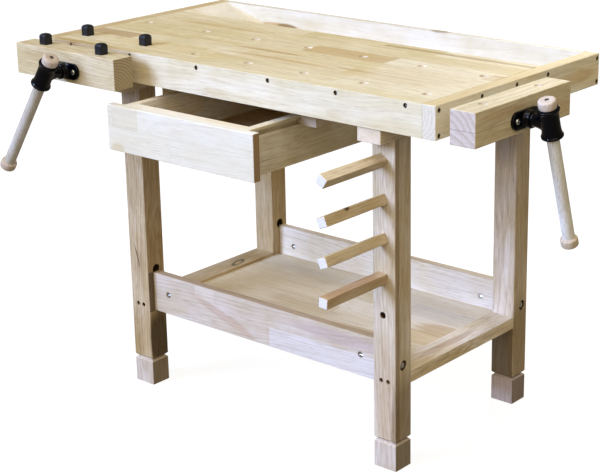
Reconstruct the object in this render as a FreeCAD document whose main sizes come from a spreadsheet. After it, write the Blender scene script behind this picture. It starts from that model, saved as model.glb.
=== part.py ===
import FreeCAD
import math
import os
import Part
import re
import Sketcher

# A small woodworking bench with a front vise, an end vise, a tool tray, a drawer and a shelf.
# Millimetres. X runs along the bench to the right, Y to the back, Z up.
# The origin is on the floor, under the middle of the top.

SIZES = {
    # The top: a panel framed by a front apron, two end caps and a back rail.
    "top_length": 1060,
    "top_depth": 560,
    "top_height": 780,
    "frame_height": 65,
    "cap_thickness": 30,
    "apron_thickness": 22,
    "back_rail_thickness": 16,
    "panel_thickness": 20,
    "panel_back": 110,
    # The tool tray behind the panel.
    "tray_rail_thickness": 20,
    "tray_floor_thickness": 12,
    "tray_floor_bottom": 722,
    "tray_groove": 4,
    "ramp_run": 139,
    "ramp_toe": 1.5,
    # Round dog holes, in two rows.
    "dog_hole": 19,
    "front_dog_row": -214.5,
    "back_dog_row": -31,
    "first_dog_hole": 462,
    "dog_pitch": 148.6,
    "last_dog_hole": -462.5,
    # Wood screws in counterbored holes.
    "screw_head": 7.8,
    "screw_head_height": 3.5,
    "screw_shank": 4,
    "screw_length": 45,
    "screw_pilot": 4.2,
    "counterbore": 9.5,
    "cap_counterbore_depth": 10,
    "apron_counterbore_depth": 8,
    "leg_counterbore_depth": 20,
    "pilot_spare": 1,
    "upright_pilot_depth": 26,
    "thread_play": 0.1,
    "cap_screw_drop": 10,
    "top_screw_height": 771,
    "low_screw_height": 722.5,
    "rail_screw_height": 190,
    "rail_screw_offset": 8.5,
    "leg_screw_offset": 12,
    "bearer_front_screw": -267,
    "bearer_back_screw": 272.5,
    "bearer_screw_inset": 9,
    # Legs and their separate feet.
    "leg_width": 56,
    "leg_depth": 50,
    "leg_top": 685,
    "left_leg_x": -320,
    "right_leg_x": 373,
    "leg_y": 206,
    "foot_height": 58,
    "foot_neck_height": 3,
    "foot_inset": 0.5,
    "foot_neck": 38,
    "foot_chamfer": 4,
    "foot_dowel": 20,
    "foot_dowel_height": 30,
    "foot_dowel_play": 0.1,
    "foot_dowel_spare": 2,
    # Bearers under the top, rails, stretchers and shelf.
    "bearer_front": -275,
    "bearer_back": 279,
    "stretcher_thickness": 19,
    "stretcher_bottom": 177,
    "stretcher_top": 267,
    "front_stretcher_y": -206,
    "back_stretcher_y": 212.5,
    "shelf_rail_bottom": 178,
    "shelf_rail_top": 203,
    "shelf_bottom": 182,
    "shelf_top": 197,
    "shelf_tongue": 10,
    "shelf_tongue_shoulder": 1,
    "sheet_play": 0.2,
    # Bolts with barrel nuts that pull the stretchers against the legs.
    "bolt_height": 222,
    "bolt_shank": 5.9,
    "bolt_hole": 7,
    "bolt_head": 13,
    "bolt_head_height": 6,
    "bolt_recess": 22,
    "bolt_recess_depth": 9,
    "bolt_length": 100,
    "bolt_socket": 5,
    "bolt_socket_depth": 4,
    "bolt_spare": 2,
    "barrel_inset": 45.5,
    "barrel_diameter": 13.8,
    "barrel_hole": 14,
    "barrel_length": 14,
    "barrel_sink": 1.5,
    "barrel_slot": 2,
    "cut_margin": 1,
    "spare_hole": 22,
    "spare_hole_height": 272,
    "spare_hole_depth": 15,
    # Support pegs in the front of the right-hand leg.
    "peg_hole": 14.2,
    "peg_tenon": 14,
    "peg_tenon_length": 30,
    "peg_hole_depth": 32,
    "peg_width": 21,
    "peg_length": 178,
    "peg_top": 642,
    "peg_shift": -3.5,
    "peg_pitch": 78.5,
    # The drawer, pulled out, and the two runners that carry it.
    "drawer_face_left": -240,
    "drawer_face_right": 167,
    "drawer_face_front": -369,
    "drawer_face_thickness": 18.5,
    "drawer_bottom": 592,
    "drawer_top": 688.6,
    "drawer_left": -205,
    "drawer_right": 140,
    "drawer_side_thickness": 19,
    "drawer_length": 400,
    "drawer_front_thickness": 20.5,
    "drawer_back_thickness": 18,
    "drawer_floor_bottom": 601,
    "drawer_floor_thickness": 6,
    "drawer_floor_groove": 6,
    "drawer_floor_play": 0.3,
    "drawer_floor_setback": 1,
    "slide_groove_bottom": 671,
    "slide_groove_top": 681.2,
    "slide_groove_depth": 9.5,
    "slide_play": 0.5,
    "runner_tongue": 10.2,
    "runner_bottom": 669,
    "runner_front": -202.5,
    "runner_back": 88,
    "right_runner_inner": 141.7,
    "left_runner_inner": -206.7,
    "right_runner_thickness": 40.5,
    "left_runner_thickness": 42.5,
    "runner_dog_depth": 25,
    # Both vises.
    "vise_height": 740,
    "front_vise_x": -374,
    "end_vise_y": -125,
    "front_jaw_gap": 27.5,
    "end_jaw_gap": 31,
    "front_jaw_thickness": 52,
    "end_jaw_thickness": 55.5,
    "front_jaw_left": 156,
    "front_jaw_right": 150,
    "end_jaw_left": 155,
    "end_jaw_right": 157,
    "jaw_bottom": 714,
    "front_dog_left": -88,
    "front_dog_right": 87,
    "end_dog_left": -91,
    "end_dog_right": 88,
    "front_handle_lean": 33.3,
    "end_handle_lean": -17.6,
    "spindle": 19.9,
    "nut_bore": 20,
    "spindle_clearance": 22,
    "spindle_reach": 200,
    "spindle_chamfer": 2,
    "guide_rod": 15.9,
    "guide_bore": 16,
    "guide_clearance": 17,
    "guide_offset": 60,
    "guide_reach": 220,
    "guide_socket": 30,
    "bracket_length": 160,
    "bracket_height": 36,
    "bracket_thickness": 30,
    "flange_length": 90,
    "flange_height": 35,
    "flange_plate": 6,
    "flange_hub": 13,
    "flange_hub_width": 33,
    "flange_screw_offset": 31.5,
    "flange_screw": 5,
    "flange_screw_hole": 5.5,
    "flange_screw_head": 11,
    "flange_screw_dome": 3.5,
    "flange_screw_length": 24,
    "flange_screw_rim": 0.8,
    "flange_slot_length": 6,
    "flange_slot_width": 1.2,
    "flange_slot_depth": 1.2,
    "neck": 22,
    "neck_bore": 22.1,
    "neck_play": 0.3,
    "neck_groove": 18,
    "ring_outside": 30,
    "ring_thickness": 3,
    "ring_play": 0.1,
    "neck_end": 6.3,
    "ring_recess": 35,
    "ring_recess_depth": 8,
    "collar": 27,
    "socket_distance": 55.5,
    "socket_tube": 37.5,
    "socket_half": 29,
    "socket_rim": 42.5,
    "socket_rim_height": 5,
    "socket_rim_round": 1.2,
    "handle": 24,
    "handle_bore": 24.16,
    "handle_length": 315.5,
    "knob": 34.2,
    "knob_height": 18,
    "knob_round": 4,
    "handle_tenon": 12,
    "handle_tenon_length": 12,
    "handle_tenon_hole": 12.1,
    "handle_tenon_spare": 0.5,
    # Bench dogs: a square head on a round shank.
    "dog_head": 21,
    "dog_head_height": 23,
    "dog_shank": 18.6,
    "dog_shank_length": 40,
    "dog_chamfer": 4,
    "dog_tip_chamfer": 1,
    # Eased edges.
    "sheet_round": 0.4,
    "groove_round": 0.5,
    "seam_round": 0.7,
    "edge_round": 1.5,
    "leg_round": 2.5,
    "leg_foot_chamfer": 4,
}

document = FreeCAD.newDocument("WoodworkingBench")
sheet = document.addObject("Spreadsheet::Sheet", "Sizes")
for row, (alias, size) in enumerate(SIZES.items(), start=1):
    sheet.set(f"A{row}", alias)
    sheet.set(f"B{row}", str(size))
    sheet.setAlias(f"B{row}", alias)
document.recompute()

subparts = []


# ---- Formulas, sketches and features --------------------------------------------------------

def cells(formula):
    """The formula with each name of a size turned into a reference to its cell."""
    return re.sub(r"[a-z_]+", lambda word: "Sizes." + word[0] if word[0] in SIZES else word[0],
                  str(formula))


def value(formula):
    """What a formula comes to now."""
    return float(sheet.evalExpression(cells(formula)))


def bind(item, field, formula):
    """Ties one size of an object to a formula in the sheet's names."""
    item.setExpression(field, cells(formula))


def new_body(label):
    body = document.addObject("PartDesign::Body", label)
    body.Label = label
    return body


def keep(item, label):
    """Makes an object a sub-part, named label."""
    item.Label = label
    subparts.append(item)
    return item


def place(item, x=0, y=0, z=0, rotation=None):
    """Puts an object's own origin at a place given by formulas."""
    if rotation is not None:
        item.Placement = FreeCAD.Placement(FreeCAD.Vector(), rotation)
    for axis, formula in zip("xyz", (x, y, z)):
        bind(item, f".Placement.Base.{axis}", formula)
    return item


def new_sketch(body, plane, level=0):
    """A sketch in the body's own XY, XZ or YZ plane, moved to a z, y or x level."""
    sketch = body.newObject("Sketcher::SketchObject", "Sketch")
    support = [item for item in body.Origin.OriginFeatures if item.Role == plane + "_Plane"]
    sketch.AttachmentSupport = [(support[0], "")]
    sketch.MapMode = "FlatFace"
    along_normal = f"-({level})" if plane == "XZ" else level
    bind(sketch, ".AttachmentOffset.Base.z", along_normal)
    return sketch


def pin_point(sketch, geometry, point, across, up):
    """Dimensions one point of a sketch from the sketch's origin."""
    for kind, formula in (("DistanceX", across), ("DistanceY", up)):
        rule = Sketcher.Constraint(kind, -1, 1, geometry, point, value(formula))
        bind(sketch, f"Constraints[{sketch.addConstraint(rule)}]", formula)


def outline(sketch, points):
    """A closed outline of straight lines through points given by formulas."""
    places = [FreeCAD.Vector(value(across), value(up), 0) for across, up in points]
    lines = [Part.LineSegment(start, end) for start, end in zip(places, places[1:] + places[:1])]
    first = sketch.addGeometry(lines, False)[0]
    last = first + len(lines) - 1
    for line in range(first, last + 1):
        following = first if line == last else line + 1
        sketch.addConstraint(Sketcher.Constraint("Coincident", line, 2, following, 1))
    for line, (across, up) in enumerate(points, start=first):
        pin_point(sketch, line, 1, across, up)


def rectangle(sketch, across, up):
    """A rectangle between two levels across and two levels up."""
    outline(sketch, [(across[0], up[0]), (across[1], up[0]), (across[1], up[1]), (across[0], up[1])])


def circles(sketch, centres, diameter):
    """Circles of one diameter at centres given by formulas."""
    for across, up in centres:
        circle = Part.Circle(FreeCAD.Vector(value(across), value(up), 0),
                             FreeCAD.Vector(0, 0, 1), value(diameter) / 2)
        geometry = sketch.addGeometry(circle, False)
        pin_point(sketch, geometry, 3, across, up)
        rule = Sketcher.Constraint("Diameter", geometry, value(diameter))
        bind(sketch, f"Constraints[{sketch.addConstraint(rule)}]", diameter)


PLANE = {"x": "YZ", "y": "XZ", "z": "XY"}
ALONG_NORMAL = ("+x", "-y", "+z")


def extrude(body, kind, sketch, length, along_normal):
    feature = body.newObject("PartDesign::" + kind, kind)
    feature.Profile = sketch
    bind(feature, "Length", length)
    feature.Reversed = along_normal == (kind == "Pocket")
    body.Tip = feature
    return feature


def add_block(body, toward, level, length, across, up):
    """Pads a rectangle from a level toward +x, -x, +y, -y, +z or -z."""
    sketch = new_sketch(body, PLANE[toward[1]], level)
    rectangle(sketch, across, up)
    return extrude(body, "Pad", sketch, length, toward in ALONG_NORMAL)


def add_rounds(body, toward, level, length, centres, diameter):
    """Pads circles from a level toward +x, -x, +y, -y, +z or -z."""
    sketch = new_sketch(body, PLANE[toward[1]], level)
    circles(sketch, centres, diameter)
    return extrude(body, "Pad", sketch, length, toward in ALONG_NORMAL)


def drill(body, toward, level, depth, centres, diameter):
    """Cuts round holes from a level toward +x, -x, +y, -y, +z or -z."""
    sketch = new_sketch(body, PLANE[toward[1]], level)
    circles(sketch, centres, diameter)
    return extrude(body, "Pocket", sketch, depth, toward in ALONG_NORMAL)


def cut_block(body, toward, level, depth, across, up):
    """Cuts a rectangular groove or slot from a level toward +x, -x, +y, -y, +z or -z."""
    sketch = new_sketch(body, PLANE[toward[1]], level)
    rectangle(sketch, across, up)
    return extrude(body, "Pocket", sketch, depth, toward in ALONG_NORMAL)


def revolve(body, plane, level, points):
    """Turns an outline of (radius, height) points about the upright axis of its sketch."""
    sketch = new_sketch(body, plane, level)
    outline(sketch, points)
    feature = body.newObject("PartDesign::Revolution", "Revolution")
    feature.Profile = sketch
    feature.ReferenceAxis = (sketch, ["V_Axis"])
    feature.Angle = 360
    body.Tip = feature
    return feature


def dress(body, kind, size, wanted=None):
    """Fillets or chamfers all edges of a body, or those that wanted(edge) picks."""
    document.recompute()
    base = body.Tip
    feature = body.newObject("PartDesign::" + kind, kind)
    if wanted is None:
        feature.Base = (base, [""])
        feature.UseAllEdges = True
    else:
        edges = enumerate(base.Shape.Edges, start=1)
        feature.Base = (base, [f"Edge{number}" for number, edge in edges if wanted(edge)])
    bind(feature, "Radius" if kind == "Fillet" else "Size", size)
    body.Tip = feature
    return feature


def along(axis):
    """Picks the straight edges that run along x, y or z."""
    def test(edge):
        if edge.Curve.TypeId != "Part::GeomLine":
            return False
        return abs(getattr(edge.Curve.Direction, axis)) > 0.99
    return test


def at_level(axis, formula):
    """Picks the edges that lie wholly at one level."""
    def test(edge):
        ends = [getattr(point, axis) for point in edge.discretize(5)]
        return max(abs(end - value(formula)) for end in ends) < 0.01
    return test


def board(label, x, y, z, easing="seam_round"):
    """A plain board between two x, two y and two z levels, with all its edges eased."""
    body = new_body(label)
    add_block(body, "+z", z[0], f"({z[1]}) - ({z[0]})", x, y)
    dress(body, "Fillet", easing)
    return keep(body, label)


def profile_board(label, y, points, easing="seam_round"):
    """A board of one cross-section in x and z, running from one y level to another."""
    body = new_body(label)
    sketch = new_sketch(body, "XZ", y[0])
    outline(sketch, points)
    extrude(body, "Pad", sketch, f"({y[1]}) - ({y[0]})", False)
    dress(body, "Fillet", easing)
    return keep(body, label)


def group(label, items):
    """One sub-part of several separate solids."""
    compound = document.addObject("Part::Compound", label)
    compound.Links = items
    return keep(compound, label)


# ---- Levels that several pieces share -------------------------------------------------------

INNER_END = "(top_length / 2 - cap_thickness)"
TOP_UNDERSIDE = "(top_height - frame_height)"
PANEL_UNDERSIDE = "(top_height - panel_thickness)"
FRONT = "(-top_depth / 2)"
BACK = "(top_depth / 2)"
APRON_BACK = "(apron_thickness - top_depth / 2)"
BACK_RAIL_FRONT = "(top_depth / 2 - back_rail_thickness)"
TRAY_FLOOR_TOP = "(tray_floor_bottom + tray_floor_thickness)"
LEG_BOTTOM = "(foot_height + foot_neck_height)"
BETWEEN_ENDS = (f"-{INNER_END}", INNER_END)

APRON_SCREWS = (-444, -261, -67, 127, 298, 462)
CAP_SCREWS = (
    ("apron_thickness / 2 - top_depth / 2", "top_height - cap_screw_drop"),
    ("apron_thickness / 2 - top_depth / 2", "low_screw_height"),
    (-135, "top_height - cap_screw_drop"),
    (-20, "top_height - cap_screw_drop"),
    (88.5, "top_height - cap_screw_drop"),
    ("top_depth / 2 - back_rail_thickness / 2", "top_height - cap_screw_drop"),
    ("top_depth / 2 - back_rail_thickness / 2", "low_screw_height"),
)
DOG_COLUMNS = [f"first_dog_hole - {number} * dog_pitch" for number in range(6)] + ["last_dog_hole"]
DOG_HOLES = [(x, y) for x in DOG_COLUMNS for y in ("front_dog_row", "back_dog_row")]
LEGS = {
    "front_left": ("left_leg_x", "-leg_y", -1, -1),
    "front_right": ("right_leg_x", "-leg_y", 1, -1),
    "back_left": ("left_leg_x", "leg_y", -1, 1),
    "back_right": ("right_leg_x", "leg_y", 1, 1),
}
LEFT_LEG_INNER = "(left_leg_x + leg_width / 2)"
RIGHT_LEG_INNER = "(right_leg_x - leg_width / 2)"
BEARER_SCREWS = [(x, y)
                 for x in ("left_leg_x - leg_width / 2 + bearer_screw_inset",
                           "right_leg_x + leg_width / 2 - bearer_screw_inset")
                 for y in ("bearer_front_screw", "bearer_back_screw")]
STRETCHER_Y = {-1: "front_stretcher_y", 1: "back_stretcher_y"}


def sign(number, formula):
    """The formula, or minus it."""
    return f"({formula})" if number > 0 else f"(-({formula}))"


def direction(number, axis):
    """+x, -x, +y or -y."""
    return ("+" if number > 0 else "-") + axis


# ---- The top ---------------------------------------------------------------------------------

def drill_ends(body, screws):
    """Pilot holes for the cap screws in both ends of a long board."""
    for side in (-1, 1):
        drill(body, direction(-side, "x"), sign(side, INNER_END),
              "screw_length + cap_counterbore_depth + pilot_spare - cap_thickness", screws, "screw_pilot")


def top_panel():
    """The laminated work surface, with two rows of dog holes."""
    body = board("top_panel", BETWEEN_ENDS, (APRON_BACK, "panel_back"), (PANEL_UNDERSIDE, "top_height"))
    drill(body, "-z", "top_height", "panel_thickness", DOG_HOLES, "dog_hole")
    pilots = [(x, "top_screw_height") for x in APRON_SCREWS]
    drill(body, "+y", APRON_BACK, "screw_length + apron_counterbore_depth + pilot_spare - apron_thickness",
          pilots, "screw_pilot")
    drill_ends(body, CAP_SCREWS[2:5])


def drill_vise_holes(body, toward, level, depth, centre):
    """Clearance holes for a vise's spindle and its two guide rods."""
    drill(body, toward, level, depth, [(centre, "vise_height")], "spindle_clearance")
    rods = [(f"{centre} - guide_offset", "vise_height"), (f"{centre} + guide_offset", "vise_height")]
    drill(body, toward, level, depth, rods, "guide_clearance")


def front_apron():
    """The deep board along the front, bored for the front vise."""
    body = board("front_apron", BETWEEN_ENDS, (FRONT, APRON_BACK), (TOP_UNDERSIDE, "top_height"))
    heads = [(x, "top_screw_height") for x in APRON_SCREWS]
    drill(body, "+y", FRONT, "apron_counterbore_depth", heads, "counterbore")
    drill(body, "+y", FRONT, "apron_thickness", heads, "screw_pilot")
    drill_ends(body, CAP_SCREWS[:2])
    front_screws = [spot for spot in BEARER_SCREWS if spot[1] == "bearer_front_screw"]
    drill(body, "+z", TOP_UNDERSIDE, "upright_pilot_depth", front_screws, "screw_pilot")
    drill_vise_holes(body, "+y", FRONT, "apron_thickness", "front_vise_x")


def end_cap(label, side):
    """A board across one end of the top, screwed into the ends of the long boards."""
    outer = sign(side, "top_length / 2")
    inner = sign(side, INNER_END)
    levels = (outer, inner) if side < 0 else (inner, outer)
    body = board(label, levels, (FRONT, BACK), (TOP_UNDERSIDE, "top_height"), "edge_round")
    inward = direction(-side, "x")
    drill(body, inward, outer, "cap_counterbore_depth", CAP_SCREWS, "counterbore")
    drill(body, inward, outer, "cap_thickness", CAP_SCREWS, "screw_pilot")
    if side > 0:
        drill_vise_holes(body, inward, outer, "cap_thickness", "end_vise_y")


def back_rail():
    """The board along the back, grooved for the tray's floor."""
    body = board("back_rail", BETWEEN_ENDS, (BACK_RAIL_FRONT, BACK), (TOP_UNDERSIDE, "top_height"))
    cut_block(body, "+y", BACK_RAIL_FRONT, "tray_groove", BETWEEN_ENDS,
              ("tray_floor_bottom", TRAY_FLOOR_TOP))
    drill_ends(body, CAP_SCREWS[5:])
    back_screws = [spot for spot in BEARER_SCREWS if spot[1] == "bearer_back_screw"]
    drill(body, "+z", TOP_UNDERSIDE, "upright_pilot_depth", back_screws, "screw_pilot")


def tray():
    """The tray behind the panel: its front rail, its floor in two grooves, and its ramp."""
    rail = board("tray_front_rail", BETWEEN_ENDS, ("panel_back - tray_rail_thickness", "panel_back"),
                 (TOP_UNDERSIDE, PANEL_UNDERSIDE))
    cut_block(rail, "-y", "panel_back", "tray_groove", BETWEEN_ENDS,
              ("tray_floor_bottom", TRAY_FLOOR_TOP))
    board("tray_floor", BETWEEN_ENDS,
          ("panel_back - tray_groove + sheet_play", f"{BACK_RAIL_FRONT} + tray_groove - sheet_play"),
          ("tray_floor_bottom", TRAY_FLOOR_TOP), "sheet_round")
    ramp_end = f"ramp_run - {INNER_END}"
    profile_board("tray_ramp", ("panel_back + sheet_play", f"{BACK_RAIL_FRONT} - sheet_play"),
                  [(f"-{INNER_END}", TRAY_FLOOR_TOP), (ramp_end, TRAY_FLOOR_TOP),
                   (ramp_end, f"{TRAY_FLOOR_TOP} + ramp_toe"), (f"-{INNER_END}", "top_height")],
                  "sheet_round")


# ---- Legs, feet, rails, stretchers and shelf --------------------------------------------------

def leg(name, x, y, outward_x, outward_y):
    """A leg, bored for its stretcher bolt, screws and foot, in its own frame on its centre line."""
    body = new_body(name + "_leg")
    half_width = "(leg_width / 2)"
    half_depth = "(leg_depth / 2)"
    add_block(body, "+z", LEG_BOTTOM, f"leg_top - {LEG_BOTTOM}",
              (f"-{half_width}", half_width), (f"-{half_depth}", half_depth))
    dress(body, "Chamfer", "leg_foot_chamfer", at_level("z", LEG_BOTTOM))
    dress(body, "Fillet", "leg_round", along("z"))
    inward_x = direction(-outward_x, "x")
    outer_x = sign(outward_x, half_width)
    bolt = [(f"{STRETCHER_Y[outward_y]} - ({y})", "bolt_height")]
    drill(body, inward_x, outer_x, "bolt_recess_depth", bolt, "bolt_recess")
    drill(body, inward_x, outer_x, "leg_width", bolt, "bolt_hole")
    outer_y = sign(outward_y, half_depth)
    screws = [("-rail_screw_offset", "rail_screw_height"), ("rail_screw_offset", "rail_screw_height")]
    drill(body, direction(-outward_y, "y"), outer_y, "leg_counterbore_depth", screws, "counterbore")
    drill(body, direction(-outward_y, "y"), outer_y, "leg_depth", screws, "screw_pilot")
    drill(body, "-z", "leg_top", "upright_pilot_depth",
          [(0, "-leg_screw_offset"), (0, "leg_screw_offset")], "screw_pilot")
    drill(body, "+z", LEG_BOTTOM, "foot_dowel_height + foot_dowel_spare", [(0, 0)],
          "foot_dowel + foot_dowel_play")
    if outward_x < 0:
        drill(body, "-x", half_width, "spare_hole_depth", [(0, "spare_hole_height")], "spare_hole")
    if (outward_x, outward_y) == (1, -1):
        holes = [("peg_shift", f"peg_top - {number} * peg_pitch") for number in range(5)]
        drill(body, "+y", f"-{half_depth}", "peg_hole_depth", holes, "peg_hole")
    place(body, x, y)
    keep(body, name + "_leg")


def foot(name, x, y):
    """A foot block with a neck and a dowel that goes up into the leg."""
    body = new_body(name + "_foot")
    half_width = "(leg_width / 2 - foot_inset)"
    half_depth = "(leg_depth / 2 - foot_inset)"
    add_block(body, "+z", 0, "foot_height", (f"-{half_width}", half_width), (f"-{half_depth}", half_depth))
    dress(body, "Chamfer", "foot_chamfer", at_level("z", "foot_height"))
    dress(body, "Fillet", "edge_round", along("z"))
    half_neck = ("-foot_neck / 2", "foot_neck / 2")
    add_block(body, "+z", "foot_height", "foot_neck_height", half_neck, half_neck)
    add_rounds(body, "+z", LEG_BOTTOM, "foot_dowel_height", [(0, 0)], "foot_dowel")
    place(body, x, y)
    keep(body, name + "_foot")


def bearer(label, x):
    """A flat board across a pair of legs, under the top."""
    body = board(label, (f"{x} - leg_width / 2", f"{x} + leg_width / 2"),
                 ("bearer_front", "bearer_back"), ("leg_top", TOP_UNDERSIDE), "edge_round")
    into_legs = [(x, f"{side} * leg_y + {shift} * leg_screw_offset")
                 for side in (-1, 1) for shift in (-1, 1)]
    drill(body, "-z", TOP_UNDERSIDE, "cap_counterbore_depth", into_legs, "counterbore")
    drill(body, "-z", TOP_UNDERSIDE, f"{TOP_UNDERSIDE} - leg_top", into_legs, "screw_pilot")
    own_side = [spot for spot in BEARER_SCREWS if spot[0].startswith(x)]
    drill(body, "+z", "leg_top", "cap_counterbore_depth", own_side, "counterbore")
    drill(body, "+z", "leg_top", f"{TOP_UNDERSIDE} - leg_top", own_side, "screw_pilot")


def shelf_rail(label, x, side):
    """A flat rail between a front and a back leg, grooved on its inner side for the shelf."""
    legs_inner = "(leg_y - leg_depth / 2)"
    body = board(label, (f"{x} - leg_width / 2", f"{x} + leg_width / 2"),
                 (f"-{legs_inner}", legs_inner), ("shelf_rail_bottom", "shelf_rail_top"))
    inner = f"{x} - {side} * leg_width / 2"
    cut_block(body, direction(side, "x"), inner, "shelf_tongue", (f"-{legs_inner}", legs_inner),
              ("shelf_bottom", "shelf_top"))
    pilots = [(f"{x} - rail_screw_offset", "rail_screw_height"),
              (f"{x} + rail_screw_offset", "rail_screw_height")]
    depth = "screw_length + leg_counterbore_depth + pilot_spare - leg_depth"
    drill(body, "+y", f"-{legs_inner}", depth, pilots, "screw_pilot")
    drill(body, "-y", legs_inner, depth, pilots, "screw_pilot")


def stretcher(label, y):
    """A long board between the legs, with a bolt hole in each end and a hole for each barrel nut."""
    front = f"{y} - stretcher_thickness / 2"
    body = board(label, (LEFT_LEG_INNER, RIGHT_LEG_INNER), (front, f"{y} + stretcher_thickness / 2"),
                 ("stretcher_bottom", "stretcher_top"), "edge_round")
    bolt = [(y, "bolt_height")]
    depth = "bolt_length + bolt_recess_depth - leg_width + bolt_spare"
    drill(body, "+x", LEFT_LEG_INNER, depth, bolt, "bolt_hole")
    drill(body, "-x", RIGHT_LEG_INNER, depth, bolt, "bolt_hole")
    nuts = [(f"{LEFT_LEG_INNER} + barrel_inset", "bolt_height"),
            (f"{RIGHT_LEG_INNER} - barrel_inset", "bolt_height")]
    drill(body, "+y", front, "barrel_length + 2 * barrel_sink", nuts, "barrel_hole")


def shelf_panel():
    """The shelf, with a tongue at each end that sits in the shelf rails' grooves."""
    front = "front_stretcher_y + stretcher_thickness / 2 + sheet_play"
    back = "back_stretcher_y - stretcher_thickness / 2 - sheet_play"
    left = f"{LEFT_LEG_INNER} + sheet_play"
    right = f"{RIGHT_LEG_INNER} - sheet_play"
    tongue = "(leg_y - leg_depth / 2 - shelf_tongue_shoulder)"
    reach = "(shelf_tongue - sheet_play)"
    body = new_body("shelf_panel")
    sketch = new_sketch(body, "XY", "shelf_bottom")
    outline(sketch, [
        (left, front), (right, front), (right, f"-{tongue}"), (f"{RIGHT_LEG_INNER} + {reach}", f"-{tongue}"),
        (f"{RIGHT_LEG_INNER} + {reach}", tongue), (right, tongue), (right, back), (left, back),
        (left, tongue), (f"{LEFT_LEG_INNER} - {reach}", tongue),
        (f"{LEFT_LEG_INNER} - {reach}", f"-{tongue}"), (left, f"-{tongue}"),
    ])
    extrude(body, "Pad", sketch, "shelf_top - shelf_bottom", True)
    dress(body, "Fillet", "sheet_round")
    keep(body, "shelf_panel")


# ---- Fasteners ---------------------------------------------------------------------------------

def wood_screw_set(name, toward, seat, centres):
    """Wood screws of one size whose heads stand on a seat level."""
    body = new_body(name)
    body.AllowCompound = True
    back = {"+": "-", "-": "+"}[toward[0]] + toward[1]
    add_rounds(body, toward, seat, "screw_length", centres, "screw_shank")
    add_rounds(body, back, seat, "screw_head_height", centres, "screw_head")
    return body


def wood_screws():
    """Every wood screw of the frame, all of one size."""
    sets = [wood_screw_set("apron_screws", "+y", f"{FRONT} + apron_counterbore_depth",
                           [(x, "top_screw_height") for x in APRON_SCREWS])]
    for side, name in ((-1, "left"), (1, "right")):
        seat = sign(side, "top_length / 2 - cap_counterbore_depth")
        sets.append(wood_screw_set(name + "_cap_screws", direction(-side, "x"), seat, CAP_SCREWS))
    for side, name in ((-1, "front"), (1, "back")):
        seat = sign(side, "leg_y + leg_depth / 2 - leg_counterbore_depth")
        spots = [(f"{x} + {shift} * rail_screw_offset", "rail_screw_height")
                 for x in ("left_leg_x", "right_leg_x") for shift in (-1, 1)]
        sets.append(wood_screw_set(name + "_leg_screws", direction(-side, "y"), seat, spots))
    into_legs = [(x, f"{side} * leg_y + {shift} * leg_screw_offset")
                 for x in ("left_leg_x", "right_leg_x") for side in (-1, 1) for shift in (-1, 1)]
    down_seat = f"{TOP_UNDERSIDE} - cap_counterbore_depth"
    sets.append(wood_screw_set("bearer_down_screws", "-z", down_seat, into_legs))
    sets.append(wood_screw_set("bearer_up_screws", "+z", "leg_top + cap_counterbore_depth", BEARER_SCREWS))
    group("wood_screws", sets)


def stretcher_bolts():
    """Socket-head bolts through the legs into the stretchers' ends."""
    bolts = []
    for side, name in ((-1, "left"), (1, "right")):
        outer = "left_leg_x - leg_width / 2" if side < 0 else "right_leg_x + leg_width / 2"
        seat = f"{outer} - {side} * bolt_recess_depth"
        centres = [(y, "bolt_height") for y in STRETCHER_Y.values()]
        body = new_body(name + "_bolts")
        body.AllowCompound = True
        add_rounds(body, direction(side, "x"), seat, "bolt_head_height", centres, "bolt_head")
        add_rounds(body, direction(-side, "x"), seat, "bolt_length", centres, "bolt_shank")
        drill(body, direction(-side, "x"), f"{seat} + {side} * bolt_head_height", "bolt_socket_depth",
              centres, "bolt_socket")
        bolts.append(body)
    group("stretcher_bolts", bolts)


def barrel_nuts():
    """Slotted cross nuts that the stretcher bolts screw into."""
    nuts = []
    for name, y in (("front", "front_stretcher_y"), ("back", "back_stretcher_y")):
        for side, inset in (("left", f"{LEFT_LEG_INNER} + barrel_inset"),
                            ("right", f"{RIGHT_LEG_INNER} - barrel_inset")):
            face = f"{y} - stretcher_thickness / 2 + barrel_sink"
            body = new_body(f"{name}_{side}_nut")
            add_rounds(body, "+y", face, "barrel_length", [(inset, "bolt_height")], "barrel_diameter")
            half = "(barrel_diameter / 2 + cut_margin)"
            cut_block(body, "+y", face, "barrel_slot", (f"{inset} - {half}", f"{inset} + {half}"),
                      ("bolt_height - barrel_slot / 2", "bolt_height + barrel_slot / 2"))
            drill(body, "+x", f"{inset} - {half}", f"2 * {half}", [(y, "bolt_height")],
                  "bolt_shank + thread_play")
            nuts.append(body)
    group("barrel_nuts", nuts)


# ---- Drawer and runners ------------------------------------------------------------------------

def runner(label, inner, thickness, side):
    """A board hung from the panel, with a tongue that carries one side of the drawer."""
    outer = f"{inner} + {side} * {thickness}"
    tip = f"{inner} - {side} * runner_tongue"
    tongue_bottom = "slide_groove_bottom + slide_play"
    tongue_top = "slide_groove_top - slide_play"
    body = profile_board(label, ("runner_front", "runner_back"), [
        (inner, "runner_bottom"), (outer, "runner_bottom"),
        (outer, PANEL_UNDERSIDE), (inner, PANEL_UNDERSIDE),
        (inner, tongue_top), (tip, tongue_top), (tip, tongue_bottom), (inner, tongue_bottom)], "groove_round")
    if side > 0:
        drill(body, "-z", PANEL_UNDERSIDE, "runner_dog_depth",
              [("first_dog_hole - 2 * dog_pitch", "back_dog_row")], "dog_hole")


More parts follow.
